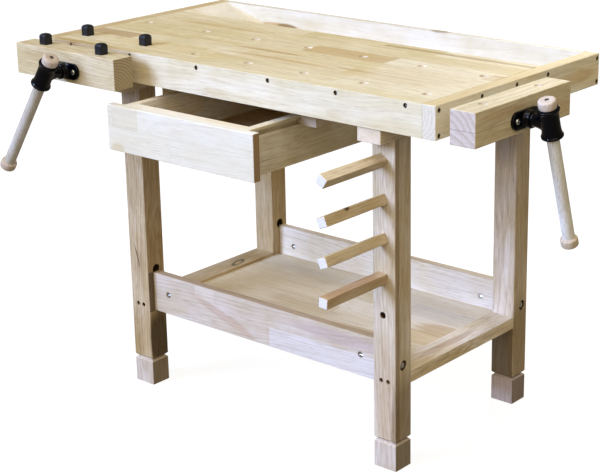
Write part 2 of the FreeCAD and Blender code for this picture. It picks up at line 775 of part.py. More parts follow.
def drawer_side(label, outer, side):
    """A drawer side, grooved outside for its runner and inside for the drawer's floor."""
    inner = f"{outer} - {side} * drawer_side_thickness"
    groove = f"{outer} - {side} * slide_groove_depth"
    floor_groove = f"{inner} + {side} * drawer_floor_groove"
    floor_top = "drawer_floor_bottom + drawer_floor_thickness"
    front = "(drawer_face_front + drawer_face_thickness)"
    profile_board(label, (front, f"{front} + drawer_length"), [
        (outer, "drawer_bottom"), (outer, "slide_groove_bottom"), (groove, "slide_groove_bottom"),
        (groove, "slide_groove_top"), (outer, "slide_groove_top"),
        (outer, "drawer_top"), (inner, "drawer_top"),
        (inner, floor_top), (floor_groove, floor_top), (floor_groove, "drawer_floor_bottom"),
        (inner, "drawer_floor_bottom"), (inner, "drawer_bottom")], "groove_round")


def drawer():
    """The drawer: a face, a box of four boards and a thin floor."""
    face_back = "(drawer_face_front + drawer_face_thickness)"
    left_inner = "(drawer_left + drawer_side_thickness)"
    right_inner = "(drawer_right - drawer_side_thickness)"
    board("drawer_face", ("drawer_face_left", "drawer_face_right"), ("drawer_face_front", face_back),
          ("drawer_bottom", "drawer_top"), "edge_round")
    drawer_side("drawer_left_side", "drawer_left", -1)
    drawer_side("drawer_right_side", "drawer_right", 1)
    front_back = f"{face_back} + drawer_front_thickness"
    front = board("drawer_front", (left_inner, right_inner), (face_back, front_back),
                  ("drawer_bottom", "drawer_top"))
    cut_block(front, "-y", front_back, "drawer_floor_groove", (left_inner, right_inner),
              ("drawer_floor_bottom", "drawer_floor_bottom + drawer_floor_thickness"))
    back_end = f"({face_back} + drawer_length)"
    board("drawer_back", (left_inner, right_inner), (f"{back_end} - drawer_back_thickness", back_end),
          ("drawer_floor_bottom + drawer_floor_thickness", "drawer_top"))
    reach = "(drawer_floor_groove - drawer_floor_play)"
    board("drawer_bottom", (f"{left_inner} - {reach}", f"{right_inner} + {reach}"),
          (f"{front_back} - {reach}", f"{back_end} - drawer_floor_setback"),
          ("drawer_floor_bottom", "drawer_floor_bottom + drawer_floor_thickness"), "sheet_round")


# ---- Vises -------------------------------------------------------------------------------------
# Each vise is built in its own frame: the origin is on the spindle's axis at the outer face of
# the board behind the jaw, -Y points out of the bench, X runs along the jaw and Z is up.

VISES = {
    "front": ("front_vise_x", FRONT, 0, "apron_thickness"),
    "end": ("top_length / 2", "end_vise_y", 90, "cap_thickness"),
}


def place_in_vise(item, vise, leaning=False):
    """Puts a vise piece on the bench, turned about the spindle by the handle's lean if asked."""
    x, y, turn, _ = VISES[vise]
    rotation = FreeCAD.Rotation(FreeCAD.Vector(0, 0, 1), turn)
    if leaning:
        lean = FreeCAD.Rotation(FreeCAD.Vector(0, 1, 0), value(f"{vise}_handle_lean"))
        rotation = rotation.multiply(lean)
    place(item, x, y, "vise_height", rotation)


def jaw_levels(vise):
    """The y levels of a jaw's inner face, outer face, and the middle of its handle's socket."""
    inner = f"(-{vise}_jaw_gap)"
    outer = f"({inner} - {vise}_jaw_thickness)"
    return inner, outer, f"({outer} - socket_distance)"


def vise_jaw(vise):
    """The thick wooden jaw, with two dog holes, and holes for the spindle, rods and flange."""
    inner, outer, _ = jaw_levels(vise)
    body = new_body(vise + "_jaw")
    bottom = "jaw_bottom - vise_height"
    add_block(body, "+z", bottom, "top_height - jaw_bottom",
              (f"-{vise}_jaw_left", f"{vise}_jaw_right"), (outer, inner))
    dress(body, "Fillet", "edge_round")
    middle = f"({inner} + {outer}) / 2"
    dogs = [(f"{vise}_dog_left", middle), (f"{vise}_dog_right", middle)]
    drill(body, "-z", "top_height - vise_height", "top_height - jaw_bottom", dogs, "dog_hole")
    drill(body, "+y", outer, f"{vise}_jaw_thickness", [(0, 0)], "spindle_clearance")
    drill(body, "+y", outer, "ring_recess_depth", [(0, 0)], "ring_recess")
    rods = [("-guide_offset", 0), ("guide_offset", 0)]
    drill(body, "-y", inner, "guide_socket", rods, "guide_rod + ring_play")
    screws = [("-flange_screw_offset", 0), ("flange_screw_offset", 0)]
    drill(body, "+y", outer, "flange_screw_length - flange_plate + pilot_spare", screws,
          "flange_screw + thread_play")
    place_in_vise(body, vise)
    keep(body, vise + "_jaw")


def slot_outline(sketch, length, height):
    """An outline with straight sides and half-round ends, on the sketch's origin."""
    reach = f"({length} - {height}) / 2"
    half = value(height) / 2
    centres = [FreeCAD.Vector(value(reach), 0, 0), FreeCAD.Vector(-value(reach), 0, 0)]
    upright = FreeCAD.Vector(0, 0, 1)
    right_arc = Part.ArcOfCircle(Part.Circle(centres[0], upright, half), -math.pi / 2, math.pi / 2)
    left_arc = Part.ArcOfCircle(Part.Circle(centres[1], upright, half), math.pi / 2, 3 * math.pi / 2)
    top = Part.LineSegment(centres[0] + FreeCAD.Vector(0, half, 0), centres[1] + FreeCAD.Vector(0, half, 0))
    low = Part.LineSegment(centres[1] - FreeCAD.Vector(0, half, 0), centres[0] - FreeCAD.Vector(0, half, 0))
    sketch.addGeometry([right_arc, top, left_arc, low], False)
    for first, second in ((0, 1), (1, 2), (2, 3), (3, 0)):
        sketch.addConstraint(Sketcher.Constraint("Tangent", first, 2, second, 1))
    sketch.addConstraint(Sketcher.Constraint("PointOnObject", 0, 3, -1))
    sketch.addConstraint(Sketcher.Constraint("PointOnObject", 2, 3, -1))
    for geometry, formula in ((0, reach), (2, f"-{reach}")):
        rule = Sketcher.Constraint("DistanceX", -1, 1, geometry, 3, value(formula))
        bind(sketch, f"Constraints[{sketch.addConstraint(rule)}]", formula)
    rule = Sketcher.Constraint("Radius", 0, half)
    bind(sketch, f"Constraints[{sketch.addConstraint(rule)}]", f"{height} / 2")


def vise_flange(vise):
    """The cast plate on the jaw's outer face, with a hub that the screw's neck turns in."""
    _, outer, _ = jaw_levels(vise)
    body = new_body(vise + "_flange")
    sketch = new_sketch(body, "XZ", outer)
    slot_outline(sketch, "flange_length", "flange_height")
    extrude(body, "Pad", sketch, "flange_plate", True)
    dress(body, "Fillet", "edge_round", at_level("y", f"{outer} - flange_plate"))
    add_rounds(body, "-y", f"{outer} - flange_plate", "flange_hub", [(0, 0)], "flange_hub_width")
    dress(body, "Fillet", "edge_round", at_level("y", f"{outer} - flange_plate - flange_hub"))
    drill(body, "+y", f"{outer} - flange_plate - flange_hub", "flange_plate + flange_hub", [(0, 0)],
          "neck_bore")
    screws = [("-flange_screw_offset", 0), ("flange_screw_offset", 0)]
    drill(body, "+y", f"{outer} - flange_plate", "flange_plate", screws, "flange_screw_hole")
    place_in_vise(body, vise)
    keep(body, vise + "_flange")


def flange_screws(vise):
    """The two round-head screws that hold the flange to the jaw."""
    _, outer, _ = jaw_levels(vise)
    seat = f"({outer} - flange_plate)"
    screws = []
    for side, name in ((-1, "left"), (1, "right")):
        body = new_body(f"{vise}_{name}_flange_screw")
        spot = [(f"{side} * flange_screw_offset", 0)]
        add_rounds(body, "-y", seat, "flange_screw_dome", spot, "flange_screw_head")
        dress(body, "Fillet", "flange_screw_dome - flange_screw_rim",
              at_level("y", f"{seat} - flange_screw_dome"))
        add_rounds(body, "+y", seat, "flange_screw_length", spot, "flange_screw")
        across = (f"{side} * flange_screw_offset - flange_slot_length / 2",
                  f"{side} * flange_screw_offset + flange_slot_length / 2")
        cut_block(body, "+y", f"{seat} - flange_screw_dome", "flange_slot_depth", across,
                  ("-flange_slot_width / 2", "flange_slot_width / 2"))
        screws.append(body)
    place_in_vise(group(vise + "_flange_screws", screws), vise)


def vise_screw(vise):
    """The spindle in one piece with its neck, collar and the tube that holds the handle."""
    _, outer, socket = jaw_levels(vise)
    hub_face = f"({outer} - flange_plate - flange_hub - neck_play)"
    body = new_body(vise + "_screw")
    revolve(body, "XY", 0, [
        (0, socket), ("collar / 2", socket), ("collar / 2", hub_face), ("neck / 2", hub_face),
        ("neck / 2", f"{outer} + neck_play"), ("neck_groove / 2", f"{outer} + neck_play"),
        ("neck_groove / 2", f"{outer} + neck_play + ring_thickness"),
        ("neck / 2", f"{outer} + neck_play + ring_thickness"), ("neck / 2", f"{outer} + neck_end"),
        ("spindle / 2", f"{outer} + neck_end"), ("spindle / 2", "spindle_reach - spindle_chamfer"),
        ("spindle / 2 - spindle_chamfer", "spindle_reach"), (0, "spindle_reach")])
    add_rounds(body, "+z", "-socket_half", "2 * socket_half", [(0, socket)], "socket_tube")
    add_rounds(body, "+z", "-socket_half", "socket_rim_height", [(0, socket)], "socket_rim")
    add_rounds(body, "-z", "socket_half", "socket_rim_height", [(0, socket)], "socket_rim")
    rims = [at_level("z", "socket_half"), at_level("z", "-socket_half")]
    dress(body, "Fillet", "socket_rim_round", lambda edge: any(test(edge) for test in rims))
    drill(body, "+z", "-socket_half", "2 * socket_half", [(0, socket)], "handle_bore")
    place_in_vise(body, vise, leaning=True)
    keep(body, vise + "_screw")


def retaining_ring(vise):
    """The ring in the neck's groove, behind the flange, that pulls the jaw open."""
    _, outer, _ = jaw_levels(vise)
    body = new_body(vise + "_retaining_ring")
    front = f"{outer} + neck_play + ring_play"
    thickness = "ring_thickness - 2 * ring_play"
    add_rounds(body, "+y", front, thickness, [(0, 0)], "ring_outside")
    drill(body, "+y", front, thickness, [(0, 0)], "neck_groove + ring_play")
    place_in_vise(body, vise)
    keep(body, vise + "_retaining_ring")


def guide_rods(vise):
    """The two steel rods, fixed in the jaw, that keep it square to the bench."""
    start = f"(-{vise}_jaw_gap - guide_socket)"
    rods = []
    for side, name in ((-1, "left"), (1, "right")):
        rod = document.addObject("Part::Cylinder", f"{vise}_{name}_rod")
        bind(rod, "Radius", "guide_rod / 2")
        bind(rod, "Height", f"guide_reach - {start}")
        toward_back = FreeCAD.Rotation(FreeCAD.Vector(1, 0, 0), -90)
        place(rod, f"{side} * guide_offset", start, 0, toward_back)
        rods.append(rod)
    place_in_vise(group(vise + "_guide_rods", rods), vise)


def nut_bracket(vise):
    """The cast block behind the board, with the nut's bore and the two guide bores."""
    _, _, _, board_thickness = VISES[vise]
    block = document.addObject("Part::Box", vise + "_bracket_block")
    bind(block, "Length", "bracket_length")
    bind(block, "Width", "bracket_thickness")
    bind(block, "Height", "bracket_height")
    place(block, "-bracket_length / 2", board_thickness, "-bracket_height / 2")
    bores = []
    for name, x, bore in (("nut", 0, "nut_bore"), ("left", "-guide_offset", "guide_bore"),
                          ("right", "guide_offset", "guide_bore")):
        hole = document.addObject("Part::Cylinder", f"{vise}_{name}_bore")
        bind(hole, "Radius", f"{bore} / 2")
        bind(hole, "Height", "bracket_thickness + 2 * cut_margin")
        toward_back = FreeCAD.Rotation(FreeCAD.Vector(1, 0, 0), -90)
        place(hole, x, f"{board_thickness} - cut_margin", 0, toward_back)
        bores.append(hole)
    tools = document.addObject("Part::MultiFuse", vise + "_bores")
    tools.Shapes = bores
    bracket = document.addObject("Part::Cut", vise + "_nut_bracket")
    bracket.Base = block
    bracket.Tool = tools
    place_in_vise(bracket, vise)
    keep(bracket, vise + "_nut_bracket")


def vise_handle(vise):
    """The loose turning bar, with a knob on each end, its upper knob resting on the tube's rim."""
    _, _, socket = jaw_levels(vise)
    top = "(socket_half + neck_play + knob_height)"
    bottom = f"({top} - handle_length)"
    bar = new_body(vise + "_handle_bar")
    add_rounds(bar, "+z", f"{bottom} + knob_height", "handle_length - 2 * knob_height", [(0, socket)],
               "handle")
    add_rounds(bar, "+z", f"{top} - knob_height", "handle_tenon_length", [(0, socket)], "handle_tenon")
    add_rounds(bar, "-z", f"{bottom} + knob_height", "handle_tenon_length", [(0, socket)], "handle_tenon")
    place_in_vise(bar, vise, leaning=True)
    keep(bar, vise + "_handle_bar")
    knobs = []
    for name, toward, face in (("upper", "+z", f"{top} - knob_height"),
                               ("lower", "-z", f"{bottom} + knob_height")):
        knob = new_body(f"{vise}_{name}_knob")
        add_rounds(knob, toward, face, "knob_height", [(0, socket)], "knob")
        dress(knob, "Fillet", "knob_round")
        drill(knob, toward, face, "handle_tenon_length + handle_tenon_spare", [(0, socket)],
              "handle_tenon_hole")
        knobs.append(knob)
    place_in_vise(group(vise + "_handle_knobs", knobs), vise, leaning=True)


# ---- Dogs and pegs -----------------------------------------------------------------------------

def bench_dog(label, x, y):
    """A bench dog, standing in its hole up to its head."""
    body = new_body(label)
    half = ("-dog_head / 2", "dog_head / 2")
    add_block(body, "+z", 0, "dog_head_height", half, half)
    dress(body, "Chamfer", "dog_chamfer", at_level("z", "dog_head_height"))
    add_rounds(body, "-z", 0, "dog_shank_length", [(0, 0)], "dog_shank")
    dress(body, "Chamfer", "dog_tip_chamfer", at_level("z", "-dog_shank_length"))
    place(body, x, y, "top_height")
    keep(body, label)


def bench_dogs():
    front_inner, front_outer, _ = jaw_levels("front")
    jaw_middle = f"{FRONT} + ({front_inner} + {front_outer}) / 2"
    bench_dog("top_left_dog", "last_dog_hole", "front_dog_row")
    bench_dog("top_right_dog", "first_dog_hole - 5 * dog_pitch", "front_dog_row")
    bench_dog("jaw_left_dog", "front_vise_x + front_dog_left", jaw_middle)
    bench_dog("jaw_right_dog", "front_vise_x + front_dog_right", jaw_middle)


def support_pegs():
    """Square pegs on round tenons, each turned a little differently in its hole."""
    turns = (33, -23, -23, 5)
    for number, turn in enumerate(turns):
        label = f"support_peg_{number + 1}"
        body = new_body(label)
        half = ("-peg_width / 2", "peg_width / 2")
        add_block(body, "-y", 0, "peg_length", half, half)
        dress(body, "Fillet", "edge_round")
        add_rounds(body, "+y", 0, "peg_tenon_length", [(0, 0)], "peg_tenon")
        place(body, "right_leg_x + peg_shift", "-leg_y - leg_depth / 2", f"peg_top - {number} * peg_pitch",
              FreeCAD.Rotation(FreeCAD.Vector(0, 1, 0), turn))
        keep(body, label)


# ---- The bench ---------------------------------------------------------------------------------

top_panel()
front_apron()
end_cap("left_end_cap", -1)
end_cap("right_end_cap", 1)
back_rail()
tray()
for leg_name, (leg_x, leg_y, leg_side, leg_end) in LEGS.items():
    leg(leg_name, leg_x, leg_y, leg_side, leg_end)
    foot(leg_name, leg_x, leg_y)
bearer("left_bearer", "left_leg_x")
bearer("right_bearer", "right_leg_x")
shelf_rail("left_shelf_rail", "left_leg_x", -1)
shelf_rail("right_shelf_rail", "right_leg_x", 1)
stretcher("front_stretcher", "front_stretcher_y")
stretcher("back_stretcher", "back_stretcher_y")
shelf_panel()
wood_screws()
stretcher_bolts()
barrel_nuts()
runner("left_runner", "left_runner_inner", "left_runner_thickness", -1)
runner("right_runner", "right_runner_inner", "right_runner_thickness", 1)
drawer()
for vise_name in VISES:
    vise_jaw(vise_name)
    vise_flange(vise_name)
    flange_screws(vise_name)
    vise_screw(vise_name)
    retaining_ring(vise_name)
    guide_rods(vise_name)
    nut_bracket(vise_name)
    vise_handle(vise_name)
bench_dogs()
support_pegs()
document.recompute()

# Every object must be sound, and every cut must take something away, before a file is written.
problems = []
for item in document.Objects:
    if "Invalid" in item.State or "Error" in item.State:
        problems.append(f"{item.Name} ({item.Label}): {item.State}")
for item in document.Objects:
    if item.TypeId == "PartDesign::Pocket" and not problems:
        if item.BaseFeature.Shape.Volume - item.Shape.Volume < 0.1:
            problems.append(f"{item.Name} cuts nothing from {item.BaseFeature.Name}")
for item in subparts:
    if item.Shape.isNull() or not item.Shape.isValid() or not item.Shape.Solids:
        problems.append(f"{item.Label} has no sound shape")
if problems:
    raise RuntimeError("\n".join(problems))

os.makedirs("parts", exist_ok=True)
for item in subparts:
    item.Shape.exportStep(f"parts/{item.Label}.step")
print(len(subparts), "sub-parts written")
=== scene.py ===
import bpy
import math
import numpy as np
from mathutils import Euler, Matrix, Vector


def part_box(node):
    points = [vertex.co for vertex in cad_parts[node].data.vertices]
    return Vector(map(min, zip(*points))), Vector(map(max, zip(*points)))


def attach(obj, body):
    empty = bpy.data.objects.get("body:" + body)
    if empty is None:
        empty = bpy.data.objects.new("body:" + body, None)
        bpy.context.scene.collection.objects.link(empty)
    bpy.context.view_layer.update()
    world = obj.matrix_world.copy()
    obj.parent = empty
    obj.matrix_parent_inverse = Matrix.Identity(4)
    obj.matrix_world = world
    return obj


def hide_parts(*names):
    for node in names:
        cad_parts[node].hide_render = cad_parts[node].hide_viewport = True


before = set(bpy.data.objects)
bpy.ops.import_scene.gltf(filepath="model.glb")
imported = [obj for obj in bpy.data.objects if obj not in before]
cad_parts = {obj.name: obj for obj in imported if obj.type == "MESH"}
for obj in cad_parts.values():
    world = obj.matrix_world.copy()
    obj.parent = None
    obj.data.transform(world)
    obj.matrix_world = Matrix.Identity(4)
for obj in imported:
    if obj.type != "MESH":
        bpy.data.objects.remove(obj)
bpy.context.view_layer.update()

# ---- The work surface ----------------------------------------------------------------------------
# A panel of rubberwood strips, glued edge to edge in short lengths, planed and oiled.
# Two rows of 19 mm dog holes are bored through it.

MM = 0.001


def linear(colour):
    """A hex sRGB colour as linear RGBA: c / 12.92 below 0.04045, else ((c + 0.055) / 1.055) ** 2.4."""
    channels = np.array([int(colour[start:start + 2], 16) for start in (0, 2, 4)]) / 255
    curved = np.where(channels < 0.04045, channels / 12.92, ((channels + 0.055) / 1.055) ** 2.4)
    return (*curved.tolist(), 1.0)


def add_node(material, kind, links=(), **settings):
    """Adds a node and gives its outputs. links holds (input, source) pairs: a source is a value or an output.

    A Mix node numbers its sockets by what it mixes: inputs 2 and 3 and output 0 are for numbers,
    inputs 6 and 7 and output 2 are for colours. Input 0 is the share of the second of the two.
    """
    node = material.node_tree.nodes.new("ShaderNode" + kind)
    for field, setting in settings.items():
        setattr(node, field, setting)
    for socket, source in links:
        if isinstance(source, bpy.types.NodeSocket):
            material.node_tree.links.new(source, node.inputs[socket])
        else:
            node.inputs[socket].default_value = source
    return node.outputs


def new_material(name):
    """A node material of its own, and its Principled shader."""
    material = bpy.data.materials.new(name)
    material.use_nodes = True
    shader = material.node_tree.nodes["Principled BSDF"]
    return material, shader


def cover(node, material):
    """Gives a CAD node's surface a material."""
    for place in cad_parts[node].material_slots:
        place.material = material


# The turn that brings a board's length onto Z, which runs along the log.
LOG_TURN = {"x": (0, -math.pi / 2, 0), "y": (math.pi / 2, 0, 0), "z": (0, 0, 0)}
# Each board's place in the log is drawn from this, in the order in which the boards are sawn.
draw = np.random.default_rng(12)
# The layers of the wood's figure: width across the grain, length along it, both in mm, and detail.
# Real pores are 0.3 mm wide, too fine to show, so they are drawn four times as coarse.
FIGURE = {
    "bands": (38.46, 454.5, 3.0), "clouds": (62.5, 83.33, 2.0), "streaks": (4.348, 166.7, 5.0),
    "flecks": (3.333, 25.0, 2.0), "pores": (1.25, 38.46, 1.0)}
CENTRED = (-0.5, -0.5, -0.5)  # Takes noise between 0 and 1 to between -0.5 and 0.5.
# The grain wanders by some 10 mm, over 170 mm across the log and 500 mm along it.
WANDER_CELLS, WANDER = (6.0, 6.0, 2.0), (0.055, 0.055, 0.05)
# Glued blocks come from up to 90 mm beside and 450 mm before or behind their place, and a strip's
# butt joints are shifted by up to seven blocks against the next strip's.
BLOCK_JUMP, STRIP_JUMP = (0.18, 0.18, 0.9), 7.3
GLUE_LINE = 1.2 * MM  # A real one is 0.2 mm wide, which wouldn't show.
GLUE_TINT = linear("957C59")
LINE_TINT = linear("CEBFAA")  # What the grain's dark lines leave of the colour under them.


def glue_up(material, place, log, along, strips, offset):
    """Takes each glued block's wood from another place in the log.

    A strip's number is the whole part of (p - seam) / width across the boards. A block's number is
    the whole part of p / length along them, after a shift of each strip by chance. White noise of the
    two numbers shifts the log's coordinates. Returns these, the block's chance value, and the glue
    lines: 0.25 where the part that is left of either count is nearly 0, and 0 elsewhere.
    """
    axis, seam, width, length = strips
    parts = add_node(material, "SeparateXYZ", ((0, place["Object"]),))
    across, lengthwise = (add_node(material, "Math", (
        (0, parts[letter.upper()]), (1, 1 / size), (2, start)), operation="MULTIPLY_ADD")[0]
        for letter, size, start in ((axis, width, -seam / width), (along, length, offset[0])))
    strip = add_node(material, "Math", ((0, across),), operation="FLOOR")[0]
    chance = add_node(material, "TexWhiteNoise", (("W", strip),), noise_dimensions="1D")[0]
    lengthwise = add_node(material, "Math", (
        (0, chance), (1, STRIP_JUMP), (2, lengthwise)), operation="MULTIPLY_ADD")[0]
    block = add_node(material, "Math", ((0, lengthwise),), operation="FLOOR")[0]
    cell = add_node(material, "CombineXYZ", ((0, strip), (1, block), (2, offset[1])))[0]
    lot = add_node(material, "TexWhiteNoise", (("Vector", cell),), noise_dimensions="3D")
    jump = add_node(material, "VectorMath", ((0, lot["Color"]), (1, CENTRED)), operation="ADD")[0]
    log = add_node(material, "VectorMath", (
        (0, jump), (1, BLOCK_JUMP), (2, log)), operation="MULTIPLY_ADD")[0]
    lines = []
    for count, size in ((across, width), (lengthwise, length)):
        part = add_node(material, "Math", ((0, count),), operation="FRACT")[0]
        lines.append(add_node(material, "MapRange", (
            ("Value", part), ("From Max", GLUE_LINE / size), ("To Min", 0.25), ("To Max", 0.0)))[0])
    seams = add_node(material, "Math", ((0, lines[0]), (1, lines[1])), operation="MAXIMUM")[0]
    return log, lot["Value"], seams


def marks_of(material, place, ragged, blocks, patches):
    """The share and the colour of each block of wood set apart, and of each patch and knot.

    Blocks and patches carry the wood's own marks and also painted light and shade. A block's share is
    its strength where |p - centre| / half size is below 1 on all three axes. A patch's falls smoothly
    from its strength to 0 while the length of (p - centre) / half sizes, with p shifted by noise so
    that the edge is ragged, goes from 0.6 to 1.1.
    """
    for low, high, hue, strength in blocks:
        centre = (np.array(low) + high) / 2
        inside = place["Object"]
        for operation, by in (("SUBTRACT", centre), ("DIVIDE", high - centre), ("ABSOLUTE", (0, 0, 0))):
            inside = add_node(material, "VectorMath", ((0, inside), (1, by)), operation=operation)[0]
        share, y, z = add_node(material, "SeparateXYZ", ((0, inside),))
        for operation, by in (("MAXIMUM", y), ("MAXIMUM", z), ("LESS_THAN", 1.0), ("MULTIPLY", strength)):
            share = add_node(material, "Math", ((0, share), (1, by)), operation=operation)[0]
        yield share, linear(hue)
    for centre, half, hue, strength, *turn in patches:
        degrees = turn[0] if turn else (0, 0, 0)
        spot = add_node(material, "VectorMath", (
            (0, ragged), (1, tuple(1.2 * size for size in half)), (2, place["Object"])),
            operation="MULTIPLY_ADD")[0]
        spot = add_node(material, "Mapping", (
            ("Vector", spot), ("Location", centre), ("Rotation", [math.radians(part) for part in degrees])),
            vector_type="TEXTURE")[0]
        spot = add_node(material, "VectorMath", ((0, spot), (1, half)), operation="DIVIDE")[0]
        spot = add_node(material, "VectorMath", ((0, spot),), operation="LENGTH")["Value"]
        share = add_node(material, "MapRange", (
            ("Value", spot), ("From Min", 0.6), ("From Max", 1.1), ("To Min", strength), ("To Max", 0.0)),
            interpolation_type="SMOOTHSTEP")[0]
        yield share, linear(hue)


def saw(node, along, tone, wood="oiled_rubberwood", figure=1.0, rings=1.0, ring=0.0045, pith=None,
        tilt=None, strips=None, spread=1.0, ends=None, bored=None, blocks=(), patches=()):
    """Solid wood for one node, in three dimensions, so that its faces and its end grain agree.

    The distance from the pith, made wavy by noise, gives the growth rings. The log is tilted a little
    against the board, which draws flames where a face cuts the rings flat. Noise stretched along the
    grain gives the layers of FIGURE. All sizes are in metres.
    - tone is the wood's middle colour, spread widens the difference from pale to dark around it, and
      figure is how plain the dark lines are.
    - ring is a growth ring's width, rings is how plain they are on the end grain, pith is where the
      log's centre lies from the board's, and tilt is the log's lean in radians.
    - strips is (axis, a seam's place, strip width, block length) where the piece is glued up.
    - ends is the end grain's own colour. bored is (colour, depth) of all wood that lies deeper than
      that inside the node's box: the walls of its holes, painted dark as shade or pale as light.
    - blocks are (low corner, high corner, colour, strength) of wood set apart, or of painted light and
      shade. One that is about a millimetre thick colours a single face, such as a face painted darker
      or paler for how the light falls on it, or a glue line.
    - patches are darker or paler places, knots, and painted shade and light: (centre, half sizes,
      colour, strength, turn), the turn in degrees and only where there is one.
    """
    material, shader = new_material(wood + "_" + node)
    low, high = (np.array(corner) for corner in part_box(node))
    angle = draw.uniform(0, 2 * math.pi)
    reach = draw.uniform(0.04, 0.10)
    lean = draw.uniform(-0.03, 0.03, 2)
    offset = draw.uniform(0, 9, 2)
    pith = pith or (reach * math.cos(angle), reach * math.sin(angle))
    tilt = tilt or tuple(lean)
    turn = Euler((*tilt, 0)).to_matrix() @ Euler(LOG_TURN[along]).to_matrix()
    shift = Vector((*pith, 0)) - turn @ Vector((low + high) / 2)
    place = add_node(material, "TexCoord")
    log = add_node(material, "Mapping", (
        ("Vector", place["Object"]), ("Location", shift), ("Rotation", turn.to_euler())))[0]
    if strips:
        log, lot, seams = glue_up(material, place, log, along, strips, offset)
    stirred = add_node(material, "VectorMath", ((0, log), (1, WANDER_CELLS)), operation="MULTIPLY")[0]
    stirred = add_node(material, "TexNoise", (("Vector", stirred), ("Scale", 1.0), ("Detail", 2.0)))["Color"]
    stirred = add_node(material, "VectorMath", ((0, stirred), (1, CENTRED)), operation="ADD")[0]
    wavy = add_node(material, "VectorMath", (
        (0, stirred), (1, WANDER), (2, log)), operation="MULTIPLY_ADD")[0]
    # Growth rings, pale in spring and darker towards autumn. The Wave node's rings are
    # 2 pi / (20 * Scale) wide.
    growth = add_node(material, "TexWave", (
        ("Vector", wavy), ("Scale", 2 * math.pi / (20 * ring))),
        wave_type="RINGS", rings_direction="Z", wave_profile="SAW")["Fac"]
    growth = add_node(material, "MapRange", (
        ("Value", growth), ("From Min", 0.25), ("From Max", 1.0)), interpolation_type="SMOOTHSTEP")[0]
    layers = {"growth": growth}
    for layer, (width, length, detail) in FIGURE.items():
        cells = (1 / (width * MM), 1 / (width * MM), 1 / (length * MM))
        stretched = add_node(material, "VectorMath", (
            (0, log if layer == "pores" else wavy), (1, cells)), operation="MULTIPLY")[0]
        layers[layer] = add_node(material, "TexNoise", (
            ("Vector", stretched), ("Scale", 1.0), ("Detail", detail)))[0]
    # Bands and clouds, and each glued block's own lot, mix pale wood with dark. Dark wood is warmer.
    shade = add_node(material, "Math", (
        (0, layers["bands"]), (1, 0.8), (2, layers["clouds"])), operation="MULTIPLY_ADD")[0]
    shade = add_node(material, "MapRange", (("Value", shade), ("From Min", 0.7), ("From Max", 1.1)))[0]
    if strips:
        shade = add_node(material, "Mix", ((0, 0.65), (2, shade), (3, lot)))[0]
    middle = np.array(linear(tone))
    pale = np.minimum(middle ** (1 - 0.10 * spread) * (1, 1, 1 + 0.06 * spread, 1), 0.93)
    dark = middle * (1 - 0.10 * spread, 1 - 0.14 * spread, 1 - 0.22 * spread, 1)
    colour = add_node(material, "Mix", ((0, shade), (6, pale), (7, dark)), data_type="RGBA")[2]
    # The end grain is where the surface faces along the board.
    facing = add_node(material, "VectorMath", (
        (0, place["Normal"]), (1, tuple(float(letter == along) for letter in "xyz"))),
        operation="DOT_PRODUCT")["Value"]
    end = add_node(material, "Math", ((0, facing),), operation="ABSOLUTE")[0]
    end = add_node(material, "MapRange", (("Value", end), ("From Min", 0.8), ("From Max", 0.95)))[0]
    coats = [(end, linear(ends), "MIX")] if ends else []
    # Painted light and shade on the walls of the node's holes: dark in counterbores, pale in dog holes.
    if bored:
        hue, depth = bored
        blocks = (*blocks, (low + depth, high - depth, hue, 1.0))
    coats += [(share, hue, "MIX") for share, hue in marks_of(material, place, stirred, blocks, patches)]
    # Each layer darkens what lies under it, between two marks of its noise. On the end grain the pores
    # are dots and the rings are plainer.
    for layer, low_mark, high_mark, on_face, on_end in (
            ("streaks", 0.42, 0.78, 0.5 * figure, 0.3), ("growth", 0, 1, 0.2 * figure, 0.65 * rings),
            ("flecks", 0.55, 0.72, 0.35 * figure, 0.2), ("pores", 0.56, 0.74, 0.3 * figure, 0.15)):
        share = add_node(material, "MapRange", (("Value", end), ("To Min", on_face), ("To Max", on_end)))[0]
        mask = add_node(material, "MapRange", (
            ("Value", layers[layer]), ("From Min", low_mark), ("From Max", high_mark)))[0]
        share = add_node(material, "Math", ((0, mask), (1, share)), operation="MULTIPLY")[0]
        coats.append((share, LINE_TINT, "MULTIPLY"))
    if strips:
        coats.append((seams, GLUE_TINT, "MULTIPLY"))
    for share, tint, blend in coats:
        colour = add_node(material, "Mix", (
            (0, share), (6, colour), (7, tint)), data_type="RGBA", blend_type=blend)[2]
    material.node_tree.links.new(colour, shader.inputs["Base Color"])
    # A planed surface gives a soft sheen, broken along the streaks and sunk at the open pores.
    sheen = add_node(material, "MapRange", (
        ("Value", layers["streaks"]), ("To Min", 0.44), ("To Max", 0.64)))[0]
    material.node_tree.links.new(sheen, shader.inputs["Roughness"])
    relief = add_node(material, "Math", (
        (0, layers["pores"]), (1, -0.6), (2, layers["streaks"])), operation="MULTIPLY_ADD")[0]
    bump = add_node(material, "Bump", (("Height", relief), ("Strength", 0.3), ("Distance", 0.4 * MM)))[0]
    material.node_tree.links.new(bump, shader.inputs["Normal"])
    cover(node, material)
    return material
